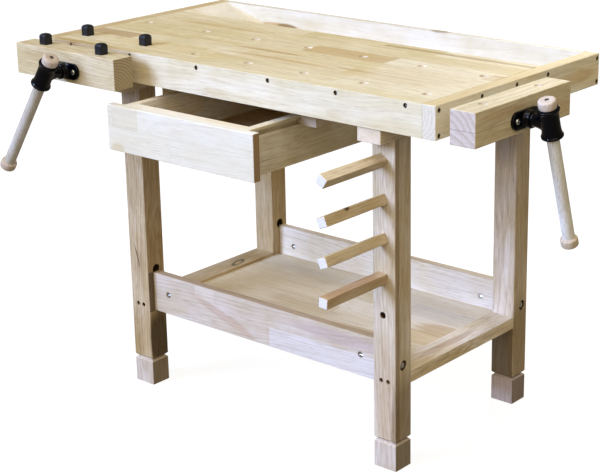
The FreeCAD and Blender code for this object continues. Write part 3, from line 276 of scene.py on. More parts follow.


# Six blocks of the panel stand out, one of them cut narrow beside the tray. Ochre streaks of heartwood
# run along the strips, the front right corner is painted paler as light falling on it, and the front
# left one is warmer. The walls of the dog holes are painted pale, as unoiled wood and as the light on
# them.
saw("top_panel", "x", "E9E1BC", figure=1.2, strips=("y", 0.0, 0.06, 0.36), spread=1.7,
    bored=("F6ECDA", 0.0006), blocks=(
        ((0.020, -0.060, 0.77), (0.236, 0.000, 0.79), "C09E62", 0.6),
        ((-0.060, -0.180, 0.77), (0.415, -0.120, 0.79), "D0B67C", 0.4),
        ((-0.500, -0.180, 0.77), (-0.365, -0.135, 0.79), "A98450", 0.6),
        ((-0.290, -0.120, 0.77), (0.110, -0.060, 0.79), "DECB9C", 0.15),
        ((0.130, 0.078, 0.77), (0.500, 0.093, 0.79), "9F8250", 0.6),
        ((0.474, -0.060, 0.77), (0.518, -0.012, 0.79), "C0A067", 0.6),
    ), patches=(
        ((-0.20, -0.088, 0.78), (0.100, 0.012, 0.03), "CDB276", 0.4),
        ((-0.02, -0.102, 0.78), (0.130, 0.009, 0.03), "B49252", 0.55),
        ((0.05, -0.150, 0.78), (0.180, 0.008, 0.03), "BE9C58", 0.5),
        ((0.30, -0.140, 0.78), (0.110, 0.009, 0.03), "AA8848", 0.5),
        ((-0.30, 0.030, 0.78), (0.140, 0.012, 0.03), "C4A76C", 0.5),
        ((0.40, -0.11, 0.78), (0.16, 0.14, 0.03), "EDE4CD", 0.55),
        ((-0.24, -0.20, 0.78), (0.20, 0.05, 0.03), "DBC994", 0.55),
    ))

# ---- The boards around the top -------------------------------------------------------------------
# The apron, the two end caps and the back rail are planed rubberwood boards set on edge.
# They are screwed through counterbored holes into the panel and into each other.

# The apron's and the right cap's top faces are painted warmer and darker than their sides, for how the
# light falls on them, and the walls of the apron's and the end caps' counterbores are painted dark as
# shade. Behind the front jaw the apron's top edge is darker still, and its front carries painted shade
# from the jaw, with the jaw's painted shadow beside the jaw's right end. The back rail has a brown flame
# with a darker core.
saw("front_apron", "x", "E4DFC8", figure=0.7, tilt=(0.0, 0.04), bored=("5A4A30", 0.0008), blocks=(
    ((-0.51, -0.29, 0.7796), (0.51, -0.25, 0.7804), "DACA9E", 0.6),
    ((-0.51, -0.29, 0.7796), (-0.22, -0.25, 0.7804), "D2BE8E", 0.6),
), patches=(
    ((-0.205, -0.28, 0.735), (0.028, 0.03, 0.026), "C9B68C", 0.4),
    ((-0.400, -0.28, 0.776), (0.170, 0.02, 0.020), "B39A68", 0.8),
    ((-0.010, -0.28, 0.728), (0.036, 0.03, 0.008), "D2C3A0", 0.5, (0, 3, 0)),
    ((-0.245, -0.28, 0.740), (0.030, 0.03, 0.05), "C8B48A", 0.35),
))
saw("left_end_cap", "y", "D3C29A", bored=("42341F", 0.0008))
saw("right_end_cap", "y", "FFF8E4", figure=0.8, rings=0.45, ring=0.008, pith=(0.06, 0.012),
    ends="DEDACE", bored=("5A4A30", 0.0008), blocks=(
        ((0.49, -0.29, 0.7796), (0.54, 0.29, 0.7804), "D2BC88", 0.85),
    ), patches=(
        ((0.53, 0.17, 0.745), (0.01, 0.10, 0.016), "D2B47C", 0.4),
    ))
saw("back_rail", "x", "D9D7C9", figure=0.5, patches=(
    ((-0.330, 0.264, 0.741), (0.070, 0.03, 0.009), "B0925A", 0.8),
    ((-0.305, 0.264, 0.742), (0.034, 0.03, 0.008), "6E5422", 0.7),
    ((0.130, 0.272, 0.780), (0.030, 0.012, 0.004), "7E5A33", 0.6),
))

# ---- The tool tray -------------------------------------------------------------------------------
# A rail under the panel's rear edge, a thin floor in two grooves, and a ramp at the left end that
# shavings are swept up. The floor is sanded plywood faced with the same pale wood.

saw("tray_front_rail", "x", "D8C8A4")
saw("tray_floor", "x", "DCCDAA", wood="sanded_plywood", figure=0.6, strips=("y", 0.0, 0.14, 2.0))
saw("tray_ramp", "x", "EEEADA", figure=0.5)

# ---- Legs and feet -------------------------------------------------------------------------------
# Square rubberwood legs with eased corners, each on a foot block of the same size.
# A dowel joins the two, and a thin dark gap shows between their bevelled edges.

# The right faces are painted darker than the fronts, as shade, and so are the walls of the legs' holes.
# The front left leg has a crack, and painted shade on the strip of its right face in front of the
# stretcher's end. The legs' lower ends are darker, with painted shade on their right faces, and the back
# right leg is painted dark as a whole below its shelf rail, as the shade under the shelf. The front left
# and back right legs' fronts carry painted greyish shade at their upper ends, under the top.
saw("front_left_leg", "z", "CAB997", ring=0.006, bored=("3A2C1E", 0.0022), figure=1.8, spread=1.4, blocks=(
    ((-0.2930, -0.24, 0.06), (-0.2910, -0.17, 0.69), "A08A62", 0.6),
    ((-0.2926, -0.24, 0.175), (-0.2914, -0.2155, 0.268), "3E2E1C", 0.7),
), patches=(
    ((-0.324, -0.231, 0.300), (0.0022, 0.02, 0.034), "5E4528", 0.8, (0, -16, 0)),
    ((-0.320, -0.235, 0.680), (0.045, 0.01, 0.045), "C4BCC4", 0.7),
    ((-0.330, -0.231, 0.130), (0.020, 0.02, 0.080), "A1855A", 0.3),
    ((-0.290, -0.205, 0.120), (0.006, 0.04, 0.070), "3E3020", 0.8),
))
saw("front_right_leg", "z", "DCD3C1", ring=0.006, bored=("5A4836", 0.0022), figure=1.3, spread=1.3, blocks=(
    ((0.3998, -0.2320, 0.06), (0.4020, -0.2190, 0.69), "7C5F3B", 0.5),
), patches=(
    ((0.375, -0.232, 0.16), (0.030, 0.03, 0.14), "B99C84", 0.35),
    ((0.401, -0.205, 0.09), (0.014, 0.06, 0.14), "6A5434", 0.55),
))
saw("back_left_leg", "z", "C9B58C", ring=0.006, bored=("3A2C1E", 0.0022), figure=1.4, spread=1.3)
saw("back_right_leg", "z", "E6DED0", ring=0.006, bored=("3A2C1E", 0.0022), figure=1.4, spread=1.3, blocks=(
    ((0.3440, 0.175, 0.060), (0.3995, 0.236, 0.1775), "5A4E44", 0.8),
    ((0.3995, 0.175, 0.060), (0.4020, 0.236, 0.6900), "B49C6C", 0.4),
), patches=(
    ((0.36, 0.20, 0.62), (0.05, 0.04, 0.12), "B0B0C6", 0.7),
    ((0.401, 0.206, 0.10), (0.014, 0.06, 0.12), "7A6440", 0.5),
))
# Each foot's right face is painted dark as shade, and the back right foot's darker, greyer tone is painted
# shade under the shelf.
for leg, tone in (("front_left", "D3CAC0"), ("front_right", "D3CAC0"), ("back_left", "D3CAC0"),
                  ("back_right", "C8C0CA")):
    foot_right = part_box(leg + "_foot")[1][0]
    saw(leg + "_foot", "z", tone, figure=1.2, ends="E2DAD0", blocks=(
        ((foot_right - 0.0006, -0.3, 0.0), (foot_right + 0.001, 0.3, 0.0575), "6E5F48", 0.7),
    ))

# ---- Bearers, rails and stretchers ---------------------------------------------------------------
# Flat bearers carry the top on the legs, and flat rails carry the shelf.
# The stretchers are boards on edge, bolted between the legs. All are planed rubberwood.

# The left rail has a knot with a dark rim, and the right one a brown streak. The front stretcher is
# glued up, with a pale board below at the right and a pale plug above. Its top edge and the back
# stretcher's are painted browner than their fronts, as shade under the top.
saw("left_bearer", "y", "D2C3A4")
saw("right_bearer", "y", "E2D5BE", rings=0.4)
saw("left_shelf_rail", "y", "CFBB92", figure=1.3, spread=1.3, patches=(
    ((-0.310, 0.075, 0.203), (0.012, 0.030, 0.01), "3E2C18", 0.9, (0, 0, 15)),
    ((-0.310, 0.075, 0.203), (0.007, 0.018, 0.01), "CDB587", 0.9, (0, 0, 15)),
))
saw("right_shelf_rail", "y", "F4EDDC", figure=1.7, spread=1.5, patches=(
    ((0.375, -0.02, 0.203), (0.012, 0.12, 0.01), "A97F52", 0.5),
))
saw("front_stretcher", "x", "D7CEC3", figure=0.9, ring=0.008, tilt=(0.02, 0.07), blocks=(
    ((-0.40, -0.25, 0.2660), (0.40, -0.15, 0.2680), "A48A66", 0.7),
    ((0.053, -0.25, 0.17), (0.36, -0.15, 0.2205), "E3E2E8", 0.7),
    ((-0.164, -0.25, 0.233), (-0.106, -0.15, 0.2662), "E4DDD6", 0.6),
), patches=(
    ((-0.08, -0.2155, 0.212), (0.11, 0.03, 0.012), "C2A695", 0.55, (0, 20, 0)),
    ((0.23, -0.2155, 0.246), (0.16, 0.03, 0.016), "C6B4B8", 0.6),
    ((-0.24, -0.2155, 0.20), (0.06, 0.03, 0.02), "CFC0A8", 0.4),
))
saw("back_stretcher", "x", "F1ECDD", figure=0.9, blocks=(
    ((-0.40, 0.15, 0.2660), (0.40, 0.25, 0.2680), "A88C6C", 0.35),
), patches=(
    ((0.26, 0.20, 0.23), (0.14, 0.03, 0.05), "E6E2E4", 0.5),
))

# ---- The shelf -----------------------------------------------------------------------------------
# A panel of rubberwood strips, glued up like the top but thinner, planed and oiled.
# It lies on the shelf rails, between the two stretchers.

# Two blocks stand out at the right, and ochre heartwood runs through the middle.
saw("shelf_panel", "x", "F0E8D0", figure=0.8, strips=("y", 0.01, 0.062, 0.42), spread=1.5, blocks=(
    ((0.255, -0.052, 0.19), (0.345, 0.01, 0.21), "D9BE86", 0.6),
    ((0.180, 0.072, 0.19), (0.345, 0.134, 0.21), "D6D0C6", 0.6),
), patches=(
    ((0.13, -0.155, 0.207), (0.16, 0.04, 0.02), "B8935A", 0.6),
    ((-0.03, -0.02, 0.197), (0.15, 0.05, 0.02), "BFAA7C", 0.45),
    ((0.20, -0.085, 0.197), (0.13, 0.035, 0.02), "B39156", 0.5),
    ((0.31, 0.035, 0.197), (0.07, 0.04, 0.02), "C2A066", 0.6),
    ((-0.24, -0.06, 0.207), (0.16, 0.12, 0.02), "E4DABC", 0.5),
))

# ---- Wood screws ---------------------------------------------------------------------------------
# Countersunk steel screws with a cross recess, chemically blackened and oiled, and driven below the
# surface in counterbored holes. Little but a glint of each head shows in its hole.


def turned(rows, around, outline=None):
    """A surface turned about Z: row k is a ring of radius r and height z, at the angles 2 pi j / around.

    A row is (r, z) or (r, z, share), where share blends the ring's circle into outline(angle), the
    radius of another shape for r = 1.
    """
    table = np.array([(*row, 0)[:3] for row in rows], dtype=float)
    angle = np.arange(around) * 2 * math.pi / around
    radius = table[:, :1] * np.ones(around)
    if outline is not None:
        radius = radius * (1 + table[:, 2:] * (outline(angle) - 1))
    height = table[:, 1:2] * np.ones(around)
    return np.stack([radius * np.cos(angle), radius * np.sin(angle), height], axis=-1)


def shell(grid, looped=False):
    """Points and faces of a grid of rings, closed around, with a first or last ring of no size as one pole.

    looped also joins the last ring to the first. The faces point outwards: where the signed volume,
    the sum of p . (q x r) over the triangles, is below zero, they are turned round.
    """
    rows, around, _ = grid.shape
    pole = [not looped and np.ptp(grid[row], axis=0).max() < 1e-9 for row in (0, -1)]
    number = np.arange(rows * around).reshape(rows, around)
    number[0] = 0 if pole[0] else number[0]
    if pole[1]:
        number[-1] = number[-1, 0]
    following = np.roll(number, -1, axis=1)
    upper = np.roll(number, -1, axis=0)
    upper_following = np.roll(following, -1, axis=0)
    quads = np.stack([number, following, upper_following, upper], axis=-1)
    quads = quads if looped else quads[:-1]
    quads = quads.reshape(-1, 4)
    points = grid.reshape(-1, 3)
    used, flat = np.unique(quads, return_inverse=True)
    points = points[used]
    quads = flat.reshape(-1, 4)
    a, b, c, d = (points[quads[:, corner]] for corner in range(4))
    volume = np.sum(a * np.cross(b, c)) + np.sum(a * np.cross(c, d))
    return points, quads[:, ::-1] if volume < 0 else quads


def moved(points, turn, origin):
    """The points turned by a 3 x 3 matrix and then shifted."""
    return points @ np.asarray(turn, dtype=float).T + np.asarray(origin, dtype=float)


def add_piece(name, shells, material, body, replaced=()):
    """A mesh object of one or more shells in millimetres, smooth shaded, riding on a body.

    The shells' points are put one after the other, and each shell's faces count on from the last's.
    """
    starts = np.cumsum([0] + [len(points) for points, _ in shells])
    points = np.concatenate([points for points, _ in shells]) * MM
    quads = np.concatenate([faces + start for (_, faces), start in zip(shells, starts)])
    # A quad at a pole names one point twice and becomes a triangle.
    double = quads == np.roll(quads, -1, axis=1)
    triangles = [np.roll(quads[double[:, side]], -side, axis=1)[:, 1:] for side in range(4)]
    faces = quads[~double.any(axis=1)].tolist() + np.concatenate(triangles).tolist()
    mesh = bpy.data.meshes.new(name)
    mesh.from_pydata(points.tolist(), [], faces)
    mesh.shade_smooth()
    mesh.update()
    piece = bpy.data.objects.new(name, mesh)
    bpy.context.scene.collection.objects.link(piece)
    mesh.materials.append(material)
    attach(piece, body)
    if replaced:
        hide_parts(*replaced)


def steel(name, colour, rough):
    """Blackened, zinc-plated, drawn or oiled steel: a bare metal whose gloss has faint blotches 4 mm wide.

    They give the eye the handling and the oil film that keep a metal part from looking like a mirror.
    """
    material, shader = new_material(name)
    place = add_node(material, "TexCoord")["Object"]
    blotches = add_node(material, "TexNoise", (
        ("Vector", place), ("Scale", 1 / (4 * MM)), ("Detail", 3.0)))[0]
    gloss = add_node(material, "MapRange", (
        ("Value", blotches), ("To Min", rough - 0.1), ("To Max", rough + 0.12)))[0]
    material.node_tree.links.new(gloss, shader.inputs["Roughness"])
    shader.inputs["Base Color"].default_value = linear(colour)
    shader.inputs["Metallic"].default_value = 1.0
    return material


def cross_recess(angle):
    """A four-armed star: the radius is 1 on the arms and 0.32 between them."""
    return 0.32 + 0.68 * np.abs(np.cos(2 * angle)) ** 3


# Turns that take a screw's Z out of the wood, on the side that each is named for.
UP = np.eye(3)
OUT_LEFT = ((0, 0, -1), (0, 1, 0), (1, 0, 0))
OUT_RIGHT = ((0, 0, 1), (0, 1, 0), (-1, 0, 0))
OUT_FRONT = ((1, 0, 0), (0, 0, -1), (0, 1, 0))
OUT_BACK = ((1, 0, 0), (0, 0, 1), (0, -1, 0))
OUT_DOWN = ((1, 0, 0), (0, -1, 0), (0, 0, -1))
CAP_SCREWS = ((-269, 770), (-269, 722.5), (-135, 770), (-20, 770), (88.5, 770), (272, 770), (272, 722.5))
LEG_X = (-320, 373)
LEG_Y = (-206, 206)
# Where the heads' seats are, in mm: in the apron, the left and the right end cap, the legs' fronts and
# the legs' backs beside the shelf rails, the bearers above the legs, and below at the bearers' ends.
screw_sets = (
    (OUT_FRONT, [(x, -272, 771) for x in (-444, -261, -67, 127, 298, 462)]),
    (OUT_LEFT, [(-520, y, z) for y, z in CAP_SCREWS]),
    (OUT_RIGHT, [(520, y, z) for y, z in CAP_SCREWS]),
    (OUT_FRONT, [(x + shift, -211, 190) for x in LEG_X for shift in (-8.5, 8.5)]),
    (OUT_BACK, [(x + shift, 211, 190) for x in LEG_X for shift in (-8.5, 8.5)]),
    (UP, [(x, y + shift, 705) for x in LEG_X for y in LEG_Y for shift in (-12, 12)]),
    (OUT_DOWN, [(x, y, 695) for x in (-339, 392) for y in (-267, 272.5)]),
)
# The recess, the cone and the rounded rim of the head, and the shank down to its point.
screw_form = turned((
    (0, 1.2), (0.9, 1.3, 1), (1.9, 2.6, 1), (2.4, 3.42, 1), (2.9, 3.5), (3.5, 3.4), (3.85, 3.0), (3.9, 2.5),
    (3.7, 2.0), (2.2, 0), (2.0, -0.6), (2.0, -38), (1.4, -42), (0, -45)), 24, cross_recess)
screw_shells = [shell(moved(screw_form, turn, seat)) for turn, seats in screw_sets for seat in seats]
blackened_steel = steel("blackened_steel_screws", "A0A0A3", 0.5)
add_piece("wood_screw_heads", screw_shells, blackened_steel, "frame", ("wood_screws",))

# ---- Stretcher bolts and barrel nuts -------------------------------------------------------------
# Socket-head steel bolts lie in recesses in the legs and pull on slotted barrel nuts in the stretchers.
# Both are zinc-plated and bright, so they take a clear, cool gloss.


def hexagon(angle):
    """A hexagon around the unit circle: the radius is 1 / cos of the angle from the nearest flat."""
    return 1 / np.cos((angle + math.pi / 6) % (math.pi / 3) - math.pi / 6)


# The hexagon socket, the head with its rounded rim, and the shank down to its chamfered end.
bolt_form = turned((
    (0, 2.0), (2.4, 2.05, 1), (2.5, 2.3, 1), (2.5, 5.5, 1), (2.95, 5.95), (5.6, 6.0), (6.2, 5.8), (6.5, 5.3),
    (6.5, 0.1), (6.4, 0), (3.0, 0), (2.95, -0.2), (2.95, -98.5), (2.2, -100), (0, -100)), 36, hexagon)
bolt_shells = [
    shell(moved(bolt_form, turn, (x, y, 222)))
    for turn, x in ((OUT_LEFT, -339), (OUT_RIGHT, 392)) for y in (-206, 212.5)]
bright_zinc = steel("bright_zinc_bolts", "C9CCCF", 0.24)
add_piece("socket_head_bolts", bolt_shells, bright_zinc, "frame", ("stretcher_bolts",))
cover("barrel_nuts", bright_zinc)

# ---- Runners and drawer --------------------------------------------------------------------------
# A runner with a tongue hangs under the panel at each side, and the drawer's grooved sides hang on them.
# The drawer is solid rubberwood with a thin plywood floor. Its face is glued up from two boards.

# The face has a short ochre block and a patch by the left end, the left side a knot at its upper edge.
# The left side is given the palest tone, as painted light on its inner face, and the right side's top
# edge is painted pale, as light falling on it.
saw("left_runner", "y", "CDBD9E")
saw("right_runner", "y", "D8CDBC")
saw("drawer_face", "x", "ECEBE0", figure=0.5, strips=("z", 0.643, 0.09, 3.0), ends="9A7F58", blocks=(
    ((-0.245, -0.40, 0.643), (-0.151, -0.35, 0.70), "D2C6A2", 0.35),
), patches=(
    ((-0.212, -0.369, 0.596), (0.022, 0.03, 0.016), "CDBB8C", 0.5),
))
saw("drawer_front", "x", "EEE7D2", figure=0.5)
saw("drawer_left_side", "y", "FFFAEC", patches=(
    ((-0.186, -0.285, 0.655), (0.01, 0.004, 0.020), "3A2A18", 0.8),
))
saw("drawer_right_side", "y", "D6CFB2", figure=1.2, spread=1.3, blocks=(
    ((0.10, -0.36, 0.6876), (0.15, 0.06, 0.6896), "EFE8D2", 0.8),
))
saw("drawer_back", "x", "CDB98F")
saw("drawer_bottom", "x", "BFA67C", wood="sanded_plywood", strips=("y", 0.02, 0.07, 2.0))

# ---- Vise jaws -------------------------------------------------------------------------------------
# Thick rubberwood blocks, each with two dog holes. The end jaw is glued up from two boards.
# Each is screwed to its vise's flange and slides with the guide rods.

# The front jaw is cut near the pith, so its end shows tight dark rings. The end jaw has wide pale ones,
# a dark line along its glue joint and a brown streak on each board. Its top face is painted darker for
# how the light falls on it, and the walls of its dog holes are painted pale, as unoiled wood and as the
# light on them.
saw("front_jaw", "x", "DDD2B2", figure=1.2, pith=(-0.045, 0.035), ring=0.0056, rings=1.5,
    ends="AE9E78", patches=(
        ((-0.46, -0.372, 0.76), (0.06, 0.03, 0.012), "B39A6C", 0.4),
    ))
saw("end_jaw", "y", "E4DBBE", figure=1.2, rings=0.75, pith=(0.05, -0.085), ring=0.015,
    strips=("z", 0.743, 0.2, 3.0), ends="CCC3C0", bored=("F6ECDA", 0.0008), blocks=(
        ((0.56, -0.29, 0.7424), (0.62, -0.06, 0.7436), "6B4E2C", 0.4),
        ((0.56, -0.29, 0.7794), (0.62, 0.04, 0.7806), "D5C9A4", 0.5),
    ), patches=(
        ((0.6165, -0.210, 0.764), (0.01, 0.090, 0.010), "C2A074", 0.4),
        ((0.6165, 0.000, 0.735), (0.01, 0.060, 0.012), "C2A074", 0.35),
    ))

# ---- Vise flanges ------------------------------------------------------------------------------
# Cast iron plates with round ends and a raised hub, painted gloss black and screwed to the jaws.
# Each is placed in its vise's own frame: Y runs along the spindle into the bench, Z is up.

# For each vise, in mm and degrees: where its frame lies, its turn about Z, how far the handle leans
# about the spindle, and how far in front of the frame's origin the jaw's face is that the flange lies on.
VISES = {
    "front": {"origin": (-374, -280, 740), "turn": 0, "lean": 33.3, "face": -79.5},
    "end": {"origin": (530, -125, 740), "turn": 90, "lean": -17.6, "face": -86.5},
}


def in_vise(points, vise, leaning=False):
    """Points of a vise's own frame on the bench, leaned about the spindle and then turned about Z."""
    turn, lean = math.radians(vise["turn"]), math.radians(vise["lean"] if leaning else 0)
    about_z = np.array([(math.cos(turn), -math.sin(turn), 0), (math.sin(turn), math.cos(turn), 0), (0, 0, 1)])
    about_y = np.array([(math.cos(lean), 0, math.sin(lean)), (0, 1, 0), (-math.sin(lean), 0, math.cos(lean))])
    return moved(points, about_z @ about_y, vise["origin"])


def round_ended(rows, around, length, height):
    """Rings about Y that pass from circles to a plate's outline with straight sides and round ends.

    A row is (radius, y, share): share 0 is a circle of that radius, share 1 is the outline, moved in
    by 1 - radius times its half height. The outline is half the height times (cos, sin) of the
    angle, with the ends moved apart by half the difference of length and height.
    """
    radius, level, share = np.array(rows, dtype=float).T[:, :, None]
    angle = np.arange(around) * 2 * math.pi / around
    stretch = (length - height) / 2 * np.clip(5 * np.cos(angle), -1, 1)
    size = np.where(share > 0.99, height / 2 - (1 - radius), radius)
    x = size * np.cos(angle) + share * stretch
    z = size * np.sin(angle)
    return np.stack([x, level * np.ones(around), z], axis=-1)


def casting_paint(name, colour, rough, peel):
    """Black paint brushed on cast iron: the casting's bumps, 2.4 mm wide, show in how its gloss breaks.

    The paint hides the metal, so it is no metal itself, and its black is so deep that gloss is nearly
    all that the eye has of the shape.
    """
    material, shader = new_material(name)
    place = add_node(material, "TexCoord")["Object"]
    uneven = add_node(material, "TexNoise", (
        ("Vector", place), ("Scale", 1 / (2.381 * MM)), ("Detail", 2.0)))[0]
    gloss = add_node(material, "MapRange", (
        ("Value", uneven), ("To Min", rough - 0.06), ("To Max", rough + 0.1)))[0]
    bump = add_node(material, "Bump", (("Height", uneven), ("Strength", peel), ("Distance", 0.6 * MM)))[0]
    material.node_tree.links.new(gloss, shader.inputs["Roughness"])
    material.node_tree.links.new(bump, shader.inputs["Normal"])
    shader.inputs["Base Color"].default_value = linear(colour)
    shader.inputs["Specular IOR Level"].default_value = 0.18
    return material


cast_paint = casting_paint("gloss_black_paint_on_cast_iron", "03050D", 0.09, 0.25)
for name, vise in VISES.items():
    face = vise["face"]
    # The bore, the hub's end and wall, the hollow at the hub's foot, and the plate, 6 mm thick.
    rows = (
        (11.1, face - 0.1, 0), (11.1, face - 18.6, 0), (11.5, face - 19, 0), (15.4, face - 19, 0),
        (16.2, face - 18.5, 0), (16.5, face - 17.6, 0), (16.5, face - 11, 0.0), (16.8, face - 8.5, 0.03),
        (17.2, face - 6.9, 0.12), (17.3, face - 6.2, 0.3), (17.2, face - 6.0, 0.55), (16.6, face - 6.0, 0.9),
        (0.2, face - 6.0, 1), (0.75, face - 5.6, 1), (1.0, face - 4.8, 1), (1.0, face - 0.4, 1),
        (0.6, face, 1), (11.6, face, 0))
    plate = shell(in_vise(round_ended(rows, around=96, length=90, height=35), vise), looped=True)
    add_piece(name + "_cast_flange", [plate], cast_paint, name + "_jaw_body",
              (name + "_flange",))
    cover(name + "_flange_screws", bright_zinc)

# ---- Vise screws -------------------------------------------------------------------------------
# Each screw is a steel spindle with a trapezoidal thread. A cast head is pressed on its end:
# a neck and a waisted tube with flared rims for the handle, painted gloss black.

SOCKET = 55.5  # How far the tube's axis is in front of the flange's seat.
TUBE_HALF = 29  # Half the tube's length.
NECK_END = 6.3  # How far behind the flange's seat the neck ends and the thread begins.
FLARE = 4.5  # How far from each end the tube's rim begins.


def thread(start, end, outer, root, pitch, around, steps):
    """A screw thread about Y: the radius rises and falls with the height less the angle's share of a pitch.

    The flank is a clipped cosine, which leaves a flat crest and a flat root. It fades out at both ends.
    around and steps are the points of a ring and the rings of a pitch.
    """
    level = np.linspace(start, end, int((end - start) / pitch * steps) + 1)[:, None]
    angle = np.arange(around) * 2 * math.pi / around
    wave = np.clip(1.6 * np.cos(2 * math.pi * level / pitch - angle), -1, 1)
    middle, depth = (outer + root) / 2, (outer - root) / 2
    fade = np.clip(np.minimum(level - start, end - level) / pitch, 0, 1)
    radius = middle + depth * wave * fade - depth * (1 - fade)
    rings = np.stack([radius * np.cos(angle), level * np.ones(around), radius * np.sin(angle)], axis=-1)
    first, last = rings[:1] * (0, 1, 0), rings[-1:] * (0, 1, 0)
    return np.concatenate([first, rings, last])


def neck_of(face, socket, around):
    """The neck about Y: oval rings whose first edge lies in the tube's wall, at y = sqrt(15 ** 2 - x ** 2).

    Its half width and its half height narrow to a waist from the tube to the hub, as the cube and the
    square of the share that is left, and spread a little at the foot, as the sixth power of the share.
    """
    angle = np.arange(around) * 2 * math.pi / around
    across, up = np.cos(angle), np.sin(angle)
    in_wall, half_wide, half_high, waist = 15, 14.2, 20.5, 12.6
    hub = face - 19.3
    rings = []
    for share in (0, 0.4, 0.8, 1):
        depth = np.sqrt(in_wall ** 2 - (half_wide * share * across) ** 2)
        rings.append(np.stack([half_wide * share * across, socket + depth, half_high * share * up], axis=-1))
    edge = rings[-1][:, 1]
    for share in np.linspace(0.06, 1, 16):
        foot = 0.9 * share ** 6
        wide = waist + (half_wide - waist) * (1 - share) ** 3 + foot
        high = waist + (half_high - waist) * (1 - share) ** 2 + foot
        level = edge * (1 - share) + hub * share
        rings.append(np.stack([wide * across, level, high * up], axis=-1))
    # The collar before the hub, the journal inside it, the groove for the ring, and the end.
    for radius, level in (
            (13.2, hub + 0.05), (11, hub + 0.1), (11, face + 0.3), (9, face + 0.35), (9, face + 3.3),
            (11, face + 3.35), (11, face + 6.1), (10.5, face + NECK_END), (0, face + NECK_END)):
        rings.append(np.stack([radius * across, level * np.ones(around), radius * up], axis=-1))
    return np.stack(rings)


spindle_steel = steel("oiled_steel_spindle", "8E8C88", 0.3)
# The tube's wall is waisted: 18 mm in radius, and wider by 2.3 mm times the fifth power of the height.
wall = [(18.0 + 2.3 * abs(step) ** 5, step * (TUBE_HALF - FLARE)) for step in np.linspace(-1, 1, 25)]
# The rim, as (radius, distance from the tube's end), is the same at both ends. The bore closes the ring.
rim = [(12.3, 0.3), (12.8, 0), (20.2, 0), (21.0, 0.4), (21.25, 1.2), (21.25, 3.2), (20.9, 4.1)]
tube_outline = [
    *((radius, inset - TUBE_HALF) for radius, inset in rim), *wall,
    *((radius, TUBE_HALF - inset) for radius, inset in reversed(rim)),
    (12.08, TUBE_HALF - 1), (12.08, 0), (12.08, 1 - TUBE_HALF)]
for name, vise in VISES.items():
    face = vise["face"]
    socket = face - SOCKET
    tube = shell(in_vise(turned(tube_outline, 96) + (0, socket, 0), vise, leaning=True), looped=True)
    neck = shell(in_vise(neck_of(face, socket, 64), vise, leaning=True))
    add_piece(name + "_vise_head", [tube, neck], cast_paint, name + "_screw_body",
              (name + "_screw",))
    winding = thread(start=face + NECK_END, end=200, outer=9.95, root=8.1, pitch=4, around=40, steps=10)
    spindle = shell(in_vise(winding, vise, leaning=True))
    add_piece(name + "_vise_spindle", [spindle], spindle_steel, name + "_screw_body")

# ---- Guide rods, rings and nut blocks -------------------------------------------------------------
# Bright drawn steel rods keep a jaw square, and a spring steel ring holds the screw in its flange.
# A cast block behind the board holds the nut. Nobody fettled it, so its thin paint is rough and dull.

drawn_steel = steel("bright_drawn_steel_rods", "B9BABB", 0.22)
rough_casting = casting_paint("black_paint_on_rough_casting", "0D0E12", 0.42, 0.9)
for name in VISES:
    cover(name + "_guide_rods", drawn_steel)
    cover(name + "_retaining_ring", drawn_steel)
    cover(name + "_nut_bracket", rough_casting)

# ---- Vise handles ----------------------------------------------------------------------------------
# Turned bars of pale beech left unoiled, greyish white, with a knob glued on each end. The end vise's
# bar and knobs are given paler tones than the front vise's, as painted light and shade.
# The lathe's centre leaves a small hole in each knob's end, darkened with painted shade.

for name, tone in (("front", "C6C5C0"), ("end", "EFF3FC")):
    saw(name + "_handle_bar", "z", tone, wood="unoiled_turned_beech", figure=0.9)
HANDLE_LENGTH = 315.5
KNOB_HEIGHT = 18
KNOB_GAP = 0.3  # Between the upper knob and the tube that it rests on.
# Painted shade darkens the lathe's hole and its rim in each knob's end.
SHADOW = (0.0052, 0.0052, 0.0052)  # How far the dark of the lathe's hole reaches, in metres.
# The lathe's hole, the rounded end, the side and the flat that the bar is glued into.
knob_form = turned((
    (0, 11), (1.6, 11.1), (2.4, 12), (2.6, 16.4), (3.1, 17.5), (4.0, 18), (12.4, 18), (14.4, 17.7),
    (15.8, 16.9), (16.7, 15.6), (17.1, 13.9), (17.1, 4), (16.8, 2.2), (16.0, 0.9), (14.8, 0.2), (13.6, 0),
    (0, 0)), 64)
for (name, vise), tone in zip(VISES.items(), ("C8BBAD", "D9CEC4")):
    socket = vise["face"] - SOCKET
    seat = TUBE_HALF + KNOB_GAP
    top, bottom = seat + KNOB_HEIGHT, seat + KNOB_HEIGHT - HANDLE_LENGTH
    upper = knob_form + (0, socket, seat)
    lower = knob_form * (1, 1, -1) + (0, socket, bottom + KNOB_HEIGHT)
    shells = [shell(in_vise(form, vise, leaning=True)) for form in (upper, lower)]
    holes = in_vise(np.array([(0, socket, top), (0, socket, bottom)]), vise, leaning=True) * MM
    knob_wood = saw(name + "_handle_knobs", "z", tone, wood="unoiled_turned_beech", figure=0.9, rings=0.6,
                    patches=[(hole.tolist(), SHADOW, "2E2216", 0.9) for hole in holes])
    add_piece(name + "_turned_knobs", shells, knob_wood, name + "_handle_body",
              (name + "_handle_knobs",))

# ---- Bench dogs ------------------------------------------------------------------------------------
# Moulded nylon dogs: a square head with soft corners and a bevelled top on a round shank.
# The mould leaves a fine satin grain on near-black, slightly blue plastic, which blurs what it mirrors.


def soft_square(angle):
    """A rounded square: (|cos| ** 7 + |sin| ** 7) ** (-1 / 7)."""
    return (np.abs(np.cos(angle)) ** 7 + np.abs(np.sin(angle)) ** 7) ** (-1 / 7)


